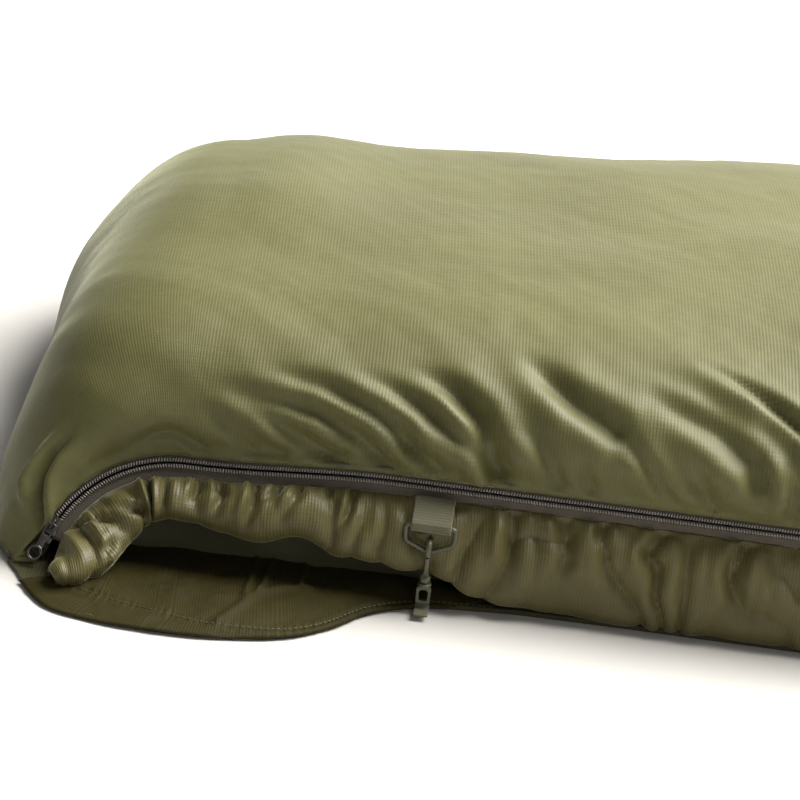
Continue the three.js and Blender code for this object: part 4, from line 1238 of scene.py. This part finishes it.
def make_draft_tube():
    s = np.linspace(zip_at(-928.0), zip_at(558.0), 330)
    point, _, _, _ = zip_place(s)
    lumpy = Unevenness(47)
    line = point - WALL_OUT * (FILLING + 18.5)
    line[:, 2] = ZIP_Z - 6 + 0.8 * lumpy(s / 60, s * 0)
    ends = smooth(np.minimum(s - s[0], s[-1] - s) / 9 + 0.25)
    piece = tube("draft_tube_roll", line, (7.9 + 0.7 * lumpy(s / 17, s * 0 + 5)) * ends, 22, LINING_CLOTH)
    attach(piece, "sack")
    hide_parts("draft_tube")


# ---- hood ----
def hood_wall(turn, lift):
    """A point on the hood's outer face. turn runs round the plan and lift from the floor to the hem."""
    plan = hood_plan(turn)
    lean = 1 - 0.05 * lift**2
    rise = HOOD_HEIGHT + 14 * np.sin(math.pi * turn)
    x = HOOD_START + (plan[..., 0] - HOOD_START) * lean
    return np.stack([x, plan[..., 1] * lean, FLOOR_TOP + (rise - FLOOR_TOP) * lift], -1)


def make_hood():
    turns = np.linspace(0, 1, 401)
    fine = np.stack([hood_wall(t, 0.0) for t in np.linspace(0, 1, 4001)])
    length = np.concatenate([[0], np.cumsum(np.linalg.norm(np.diff(fine, axis=0), axis=1))])
    turns = np.interp(np.linspace(0, length[-1], 401), length, np.linspace(0, 1, 4001))
    lifts = np.linspace(0, 1, 45)
    a, k = np.meshgrid(turns, lifts, indexing="ij")
    grid = hood_wall(a, k)
    normals = grid_normals(grid)
    centre = np.array([HOOD_START, 0.0, 60.0])
    flip = np.sign(((grid - centre) * normals).sum(-1, keepdims=True))
    normals = normals * np.where(flip == 0, 1, flip)
    normals[..., 2] = 0
    normals = unit(normals)
    round_length = np.linspace(0, length[-1], 401)[:, None] + 0 * k
    height = k * 120
    gather, slow, fine_noise = Unevenness(51), Unevenness(53), Unevenness(55)
    top_pull = np.exp(-(120 - height) / 30)
    low_pull = np.exp(-height / 16)
    puff = 7.0 * np.sin(math.pi * k) ** 0.7
    d = (
        puff - 4.0 + 3.2 * gather(round_length / 13, height / 110) * top_pull
        + 1.6 * gather(round_length / 9 + 9, height / 60) * low_pull
    )
    d += (
        (3.0 * slow(round_length / 90, height / 70) + 0.5 * fine_noise(round_length / 9, height / 9))
        * np.sin(math.pi * k)
    )
    fade = smooth(np.minimum(round_length, round_length[-1] - round_length) / 14)
    outer = grid + normals * (np.minimum(d, 6.0) * fade)[..., None]
    outer[..., 0] = np.clip(outer[..., 0], HOOD_START, HEAD_X + 2)
    inner = grid - normals * FILLING
    inner[..., 0] = np.maximum(inner[..., 0], HOOD_START)
    for end in (0, -1):
        outer[end, :, 0] = inner[end, :, 0] = MOUTH_X + 0.6
    uv = np.stack([round_length, height], 2)
    piece = closed_pad("hood", outer, inner[::2, ::2], uv, [COVER_CLOTH, LINING_CLOTH])
    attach(piece, "sack")
    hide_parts("hood_shell", "hood_fill", "hood_lining")

    hem_turns = np.interp(np.linspace(0, length[-1], 520), length, np.linspace(0, 1, 4001))
    top = hood_wall(hem_turns, np.ones(520))
    ahead = unit(np.gradient(top, axis=0))
    inward = unit(np.cross(ahead, [0, 0, 1.0]))
    inward = inward * np.where(((centre - top) * inward).sum(-1, keepdims=True) > 0, 1, -1)
    line = top + inward * 9.0 + [0, 0, 7.6]
    line[:, 0] = np.maximum(line[:, 0], HOOD_START)
    run = np.linspace(0, length[-1], 520)
    ruffle = Unevenness(57)
    fade = smooth(np.minimum(run, run[-1] - run) / 20)
    line = line + inward * column(1.3 * ruffle(run / 11, run * 0) * fade)
    hem = tube("hood_hem_channel", line, 6.4 + 0.6 * ruffle(run / 7, run * 0 + 3), 24, BINDING_TAPE)
    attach(hem, "sack")
    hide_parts("hood_hem")
    stitch = top + inward * 1.6 + [0, 0, 4.0]
    stitches(
        "hood_hem_stitches", stitch[8:-8], -inward[8:-8].mean(0) * 0 + [0, 0, 1.0], 3.4, (2.3, 0.55, 0.55)
    )


def make_mouth_binding():
    """The rolled edge round the open end of the cover."""
    row = cover_rows()[0][-1]
    inwards = unit(np.stack([0 * row[:, 1], -row[:, 1], FLOOR_TOP - row[:, 2]], 1))
    keep = (row[:, 2] > 42) | (row[:, 1] > 0) & (row[:, 2] > 36)
    line = (row + inwards * 9.0)[keep]
    line[:, 0] = MOUTH_X + 4.3
    line = fine_line(line, 2.5)
    roll = Unevenness(59)
    run = np.arange(len(line)) * 2.5
    piece = tube("mouth_edge_roll", line, 3.6 + 0.35 * roll(run / 8, run * 0), 14, BINDING_TAPE)
    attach(piece, "sack")
    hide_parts("mouth_binding")


# ---- hard pieces ----
class Parts:
    """Closed shells gathered into one piece, each placed by an origin and three axes."""

    def __init__(self, origin, x, y, z):
        self.origin = np.asarray(origin, float)
        self.axes = np.stack([x, y, z]).astype(float)
        self.points = []
        self.faces = []

    def add(self, points, faces):
        first = sum(len(p) for p in self.points)
        self.points.append(np.asarray(points, float) @ self.axes + self.origin)
        self.faces += [[first + k for k in face] for face in faces]

    def prism(self, outline, z0, z1, hole=None):
        """A plate from an outline of (x, y) points, with an optional hole of as many points."""
        outline = np.asarray(outline, float)
        count = len(outline)
        if hole is None:
            points = [np.column_stack([outline, np.full(count, z)]) for z in (z0, z1)]
            faces = [list(range(count))[::-1], list(range(count, 2 * count))]
            faces += [[k, (k + 1) % count, (k + 1) % count + count, k + count] for k in range(count)]
            self.add(np.concatenate(points), faces)
            return
        hole = np.asarray(hole, float)
        loops = [
            np.column_stack([line, np.full(count, z)]) for line,
            z in ((outline, z0), (outline, z1), (hole, z1), (hole, z0))
        ]
        faces = []
        for loop in range(4):
            a, b = loop * count, (loop + 1) % 4 * count
            faces += [[a + k, a + (k + 1) % count, b + (k + 1) % count, b + k] for k in range(count)]
        self.add(np.concatenate(loops), faces)

    def box(self, x0, x1, y0, y1, z0, z1):
        self.prism([(x0, y0), (x1, y0), (x1, y1), (x0, y1)], z0, z1)

    def rod(self, line, radius, sides=16, loop=False, squash=1.0):
        """A bar along a line of points, whose section is widened along its side by squash."""
        line = np.asarray(line, float)
        count = len(line)
        radii = np.broadcast_to(np.asarray(radius, float), (count,))
        before = np.roll(line, 1, 0) if loop else np.concatenate([line[:1], line[:-1]])
        after = np.roll(line, -1, 0) if loop else np.concatenate([line[1:], line[-1:]])
        ahead = unit(after - before)
        guide = np.array([1.0, 0.02, 0.03]) if abs(ahead[0][0]) < 0.8 else np.array([0.02, 1.0, 0.03])
        side = unit(guide - ahead * column(ahead @ guide))
        other = np.cross(ahead, side)
        angle = np.arange(sides) * 2 * math.pi / sides
        ring = (
            column(np.cos(angle))[None] * side[:, None] * squash
            + column(np.sin(angle))[None] * other[:, None]
        )
        points = (line[:, None] + ring * radii[:, None, None]).reshape(-1, 3)
        faces = []
        for i in range(count if loop else count - 1):
            n = (i + 1) % count
            faces += [
                [
                    i * sides + k, n * sides + k, n * sides + (k + 1) % sides, i * sides + (k + 1) % sides
                ] for k in range(sides)
            ]
        if not loop:
            faces += [list(range(sides)), list(range((count - 1) * sides, count * sides))[::-1]]
        self.add(points, faces)

    def turned(self, profile, sides=40):
        """A solid of revolution about local z from a closed profile of (radius, z) points."""
        profile = np.asarray(profile, float)
        count = len(profile)
        angle = np.arange(sides) * 2 * math.pi / sides
        points = np.stack([[r * math.cos(a), r * math.sin(a), z] for a in angle for r, z in profile])
        faces = []
        for i in range(sides):
            n = (i + 1) % sides
            faces += [
                [
                    i * count + k, n * count + k, n * count + (k + 1) % count, i * count + (k + 1) % count
                ] for k in range(count)
            ]
        self.add(points, faces)

    def piece(self, name, material, body, bevel=0.0):
        made = face_out(new_piece(name, np.concatenate(self.points), self.faces, [material]))
        if bevel:
            soft = made.modifiers.new("Soft edges", "BEVEL")
            soft.width = bevel * 0.001
            soft.segments = 3
            soft.limit_method = "ANGLE"
            soft.angle_limit = math.radians(38)
        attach(made, body)
        return made


def rounded(points, radii, steps=7):
    """A closed outline with its corners rounded."""
    points = np.asarray(points, float)
    line = []
    for k, (corner, radius) in enumerate(zip(points, np.broadcast_to(radii, (len(points),)))):
        before, after = unit(points[k - 1] - corner), unit(points[(k + 1) % len(points)] - corner)
        a, b = corner + before * radius, corner + after * radius
        for t in np.linspace(0, 1, steps):
            line.append((1 - t) ** 2 * a + 2 * t * (1 - t) * corner + t * t * b)
    return np.array(line)


PLATE_BOTTOM = 3.4
PLATE_TOP = 4.6
HOOK_DROP = 17.0  # from the ring's bar down to the hook's own origin


def make_slider(end, s, flip, body, pull_body):
    point, ahead, _, out = (v[0] for v in zip_place(s))
    x = ahead * flip
    y = np.cross(out, x)
    shape = Parts(point, x, y, out)
    outline = rounded(
        [(-6, -3.3), (0.5, -3.4), (5.2, -4.9), (6, -3.6), (6, 3.6), (5.2, 4.9), (0.5, 3.4), (-6, 3.3)],
        [1.4, 1.6, 1.2, 0.6, 0.6, 1.2, 1.6, 1.4]
    )
    shape.prism(outline, PLATE_BOTTOM, PLATE_TOP)
    shape.prism(outline, -1.9, -0.9)
    shape.box(1.2, 5.0, -0.35, 0.35, -1.4, PLATE_BOTTOM + 0.4)
    for side in (-1, 1):
        lip = [
            (-5.0, 3.0 * side), (1.0, 3.1 * side), (4.6, 4.3 * side), (4.6, 4.75 * side), (0.8, 3.6 * side),
            (-5.0, 3.5 * side)
        ]
        shape.prism(lip if side > 0 else lip[::-1], 2.3, PLATE_BOTTOM + 0.5)
    arch = [
        (-3.9, 0, 4.2), (-3.9, 0, 6.4), (-3.4, 0, 7.4), (-2.4, 0, 7.75), (0.8, 0, 7.75), (1.8, 0, 7.4),
        (2.3, 0, 6.4), (2.3, 0, 4.2)
    ]
    shape.rod(fine_line(arch, 0.5), 0.62, 14)
    shape.rod([(-5.4, 0, 4.5), (-2.0, 0, 5.05), (1.5, 0, 5.05), (4.6, 0, 4.5)], 0.9, 12)
    slider = shape.piece(end + "_slider_body", GUNMETAL, body, 0.22)
    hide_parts(end + "_slider")
    pull = Parts(point + x * -0.6 + out * 5.9, x, y, out)
    ring = np.linspace(0, 2 * math.pi, 40, endpoint=False)
    pull.rod(np.stack([20.8 + 4.3 * np.cos(ring), 3.9 * np.sin(ring), 0 * ring], 1), 1.0, 12, loop=True)
    neck = rounded(
        [(7.6, -3.0), (12.0, -1.9), (17.0, -2.5), (17.0, 2.5), (12.0, 1.9), (7.6, 3.0)],
        [0.8, 2.0, 0.6, 0.6, 2.0, 0.8]
    )
    pull.prism(neck, -0.62, 0.62)
    frame_line = rounded([(0, -2.45), (8.4, -2.45), (8.4, 2.45), (0, 2.45)], 0.8, 6)
    pull.rod(np.column_stack([frame_line, np.zeros(len(frame_line))]), 0.72, 12, loop=True)
    tab = pull.piece(end + "_pull_tab", GUNMETAL, pull_body, 0.16)
    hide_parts(end + "_pull")


def make_zip_ends():
    for side, sign in (("upper", 1), ("lower", -1)):
        point, ahead, up, out = (v[0] for v in zip_place(ZIP_END + 2.6))
        stop = Parts(point, ahead, up, out)
        stop.rod([(-2.2, 2.45 * sign, 1.9), (2.2, 2.45 * sign, 1.9)], 1.5, 20)
        piece = stop.piece("head_stop_" + side, GUNMETAL, "sack", 0.35)
        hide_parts("zip_stop_" + side)
    point, ahead, up, out = (v[0] for v in zip_place(ZIP_START - 2.4))
    box_end = Parts(point, ahead, up, out)
    box_end.prism(rounded([(-2.1, -4.0), (2.1, -4.0), (2.1, 4.0), (-2.1, 4.0)], 0.9), 0.5, 3.2)
    piece = box_end.piece("foot_end_box", GUNMETAL, "sack", 0.5)
    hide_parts("zip_end_box")


def hanging_axes():
    point = zip_place(zip_at(TAB_X))[0][0] + WALL_OUT * TAB_STAND
    return point, ALONG, -WALL_OUT, np.array([0.0, 0.0, 1.0])


def make_ring_and_hook():
    origin, x, y, z = hanging_axes()
    bar = origin + z * BAR_Z
    ring = Parts(bar, x, y, z)
    outline = rounded(
        [(-15.4, 0), (15.4, 0), (15.4, -10.6), (0, -17.2), (-15.4, -10.6)], [2.6, 2.6, 3.2, 5.0, 3.2], 9
    )
    outline = fine_line(
        np.column_stack([outline[:, 0], np.zeros(len(outline)), outline[:, 1]]), 1.0, loop=True
    )
    ring.rod(outline, 1.55, 18, loop=True)
    piece = ring.piece("tab_ring", OLIVE_ACETAL, "ring")
    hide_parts("d_ring")

    hook = Parts(bar - z * HOOK_DROP, x, y, z)
    bend = np.linspace(0, math.pi, 22)
    bow = [(0, 0.4, -17.0), (0, 3.2, -16.0), (0, 5.4, -13.6), (0, 6.0, -10.0), (0, 6.0, -4.0), (0, 6.0, 0.0)]
    bow += [(0, 6.0 * math.cos(a), 2.5 + 6.0 * math.sin(a)) for a in bend[1:]]
    bow += [(0, -6.0, -0.5)]
    bow = fine_line(bow, 0.8)
    share = np.linspace(0, 1, len(bow))
    hook.rod(bow, 1.55 + 0.25 * np.sin(math.pi * share), 18, squash=1.18)
    hook.turned([(0.02, -20.0), (3.0, -20.0), (3.35, -19.4), (3.4, -17.0), (3.0, -16.2), (0.02, -16.0)])
    piece = hook.piece("snap_hook_bow", OLIVE_ACETAL, "hook", 0.2)
    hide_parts("hook_body")

    gate = Parts(bar - z * HOOK_DROP, x, y, z)
    line = fine_line([(0, -3.3, -13.7), (0, -5.0, -11.0), (0, -5.8, -7.5), (0, -6.0, -1.6)], 0.7)
    gate.rod(line, 1.15, 16, squash=1.35)
    gate.rod([(-2.0, -3.4, -13.4), (2.0, -3.4, -13.4)], 0.9, 14)
    piece = gate.piece("snap_hook_gate", OLIVE_ACETAL, "gate", 0.15)
    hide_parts("hook_gate")

    swivel = Parts(bar - z * HOOK_DROP, x, y, z)
    swivel.turned([(0.02, -23.0), (3.9, -23.0), (4.25, -22.6), (4.3, -21.2), (3.9, -20.5), (0.02, -20.4)], 48)
    yoke = rounded(
        [(-4.4, -34.6), (4.4, -34.6), (4.6, -24.0), (2.8, -22.2), (-2.8, -22.2), (-4.6, -24.0)],
        [2.2, 2.2, 1.2, 1.0, 1.0, 1.2], 6
    )
    opening = rounded(
        [(-2.6, -32.2), (2.6, -32.2), (2.8, -26.2), (1.6, -25.0), (-1.6, -25.0), (-2.8, -26.2)],
        [1.4, 1.4, 0.6, 0.6, 0.6, 0.6], 6
    )
    turned = Parts(bar - z * HOOK_DROP, x, z, -y)
    turned.prism(yoke, -1.7, 1.7, hole=opening)
    swivel.points += turned.points
    first = sum(len(p) for p in swivel.points[:-1])
    swivel.faces += [[first + k for k in face] for face in turned.faces]
    piece = swivel.piece("snap_hook_swivel", OLIVE_ACETAL, "swivel", 0.3)
    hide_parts("hook_swivel")


def make_webbing():
    """The doubled strap round the ring's bar, sewn under the zip's lower tape."""
    origin, x, y, z = hanging_axes()
    axes = np.stack([x, y, z])
    anchor = np.array([TAB_STAND - 5.6, -6.9])
    bar = np.array([0.0, BAR_Z])
    lean = math.atan2(*(anchor - bar)[::-1])
    across = np.array([-math.sin(lean), math.cos(lean)])
    radius = 3.15
    bend = np.linspace(lean + math.pi / 2, lean + 1.5 * math.pi, 18)
    loop = [anchor + across * 1.1]
    loop += [bar + radius * np.array([math.cos(a), math.sin(a)]) for a in bend]
    loop += [anchor - across * 1.1]
    loop = np.array(loop)
    line = fine_line(np.column_stack([np.zeros(len(loop)), loop]), 0.55)
    half = TAB_WIDTH / 2
    # A woven strap has a rounded selvedge, so its section is a flat oval.
    section = [(-half, 0.0), (-half + 0.35, 0.55), (-half + 1.1, 0.72)]
    section += [(v, 0.72) for v in np.linspace(-half + 2, half - 2, 24)]
    section += [(half - 1.1, 0.72), (half - 0.35, 0.55), (half, 0.0)]
    section += [(v, -w) for v, w in section[1:-1]][::-1]
    section = np.array(section)
    ahead = unit(np.gradient(line, axis=0))
    facing = np.cross(ahead, [1.0, 0, 0])
    rib = 0.07 * np.sin(section[:, 0] * 2 * math.pi / 2.1)
    points = line[:, None] + facing[:, None] * (section[:, 1] + np.sign(section[:, 1]) * rib)[None, :, None]
    points[..., 0] += section[None, :, 0]
    count, sides = len(line), len(section)
    faces = [
        [
            i * sides + k, (i + 1) * sides + k, (i + 1) * sides + (k + 1) % sides,
            i * sides + (k + 1) % sides
        ] for i in range(count - 1) for k in range(sides)
    ]
    faces += [list(range(sides)), list(range((count - 1) * sides, count * sides))[::-1]]
    run = np.concatenate([[0], np.cumsum(np.linalg.norm(np.diff(line, axis=0), axis=1))])
    uv = np.stack(
        [np.broadcast_to(run[:, None], (count, sides)), np.broadcast_to(section[:, 0], (count, sides))], 2
    )
    placed = points.reshape(-1, 3) @ axes + origin
    piece = face_out(new_piece("tab_strap", placed, faces, [WEBBING], uv.reshape(-1, 2)))
    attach(piece, "sack")
    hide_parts("ring_webbing")
    front = anchor - across * 2.0
    low = bar - across * (radius + 0.75)
    for k, share in enumerate((0.10, 0.62)):
        at = front * (1 - share) + low * share
        row = [np.array([v, *at]) @ axes + origin for v in (-half + 1.6, half - 1.6)]
        stitches("tab_stitches_%d" % (k + 1), row, WALL_OUT * 0.8 + [0, 0, -0.5], 2.2, (1.7, 0.6, 0.5))

    tether = Parts(origin, x, y, z)
    z0 = FLOOR_TOP + 0.25 - ZIP_Z
    tether.prism(rounded([(-4.5, -11.5), (4.5, -11.5), (4.5, 16), (-4.5, 16)], 0.6), z0, z0 + 1.1)
    piece = tether.piece("tether", WEBBING, "sack", 0.3)
    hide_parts("tether_tape")


def make_eyelets():
    for name, turn in (("zip_side", 1 / 18), ("far_side", 17 / 18)):
        top = hood_wall(np.array(turn), np.array(1.0))
        step = hood_wall(np.array(turn + 0.002), np.array(1.0)) - top
        outward = unit(np.cross(step, [0, 0, 1.0]))
        outward = outward * (1.0 if outward.dot(top - [HOOD_START, 0, top[2]]) > 0 else -1.0)
        origin = top - outward * 9.0 + np.array([0, 0, 7.6]) + outward * 6.6
        side = unit(np.cross([0, 0, 1.0], outward))
        shape = Parts(origin, side, np.cross(outward, side), outward)
        shape.turned(
            [
                (2.6, -1.2), (4.8, -0.2), (5.5, 0.2), (5.4, 0.75), (4.7, 1.15), (3.6, 1.25), (2.8, 0.8),
                (2.45, -0.1)
            ]
        )
        piece = shape.piece("eyelet_" + name + "_ring", BLACKENED_BRASS, "sack")
        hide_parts("eyelet_" + name)


# ---- seams ----
def make_far_seam():
    """The bound seam where the cover meets the floor round the far side and the foot."""
    far = np.linspace(0, math.pi / 2, 40)
    x = FOOT_SEAM_X + FAR_CORNER * (1 - np.cos(far))
    corner = np.stack([x, far_half_width(x)], 1)[::-1]
    long_x = np.linspace(MOUTH_X, x[-1] + 5, 60)
    side = np.stack([long_x, half_width(long_x) + FAR_FULLNESS], 1)
    foot = np.array(
        [
            [FOOT_SEAM_X, 150.0], [FOOT_SEAM_X, 0.0], [FOOT_SEAM_X, -150.0], [FOOT_SEAM_X + 1, -262.0],
            [-1085.0, -290.0]
        ]
    )
    plan = np.concatenate([side, corner, foot])
    line = fine_line(np.column_stack([plan, np.full(len(plan), 4.6)]), 3.0)
    pucker = Unevenness(61)
    run = np.arange(len(line)) * 3.0
    line[:, 2] += 0.5 * pucker(run / 9, run * 0)
    piece = tube("floor_seam_piping", line, 2.2 + 0.25 * pucker(run / 6, run * 0 + 9), 10, BINDING_TAPE)
    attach(piece, "sack")


make_cover()
make_side_panel()
make_zip()
make_floor()
make_side_lining()
make_mat()
make_draft_tube()
make_hood()
make_mouth_binding()
make_slider("foot", ZIP_START + 7, -1, "foot_slider", "foot_pull")
make_slider("head", ZIP_END - 8, 1, "head_slider", "head_pull")
make_zip_ends()
make_ring_and_hook()
make_webbing()
make_eyelets()
make_far_seam()

bpy.context.view_layer.update()
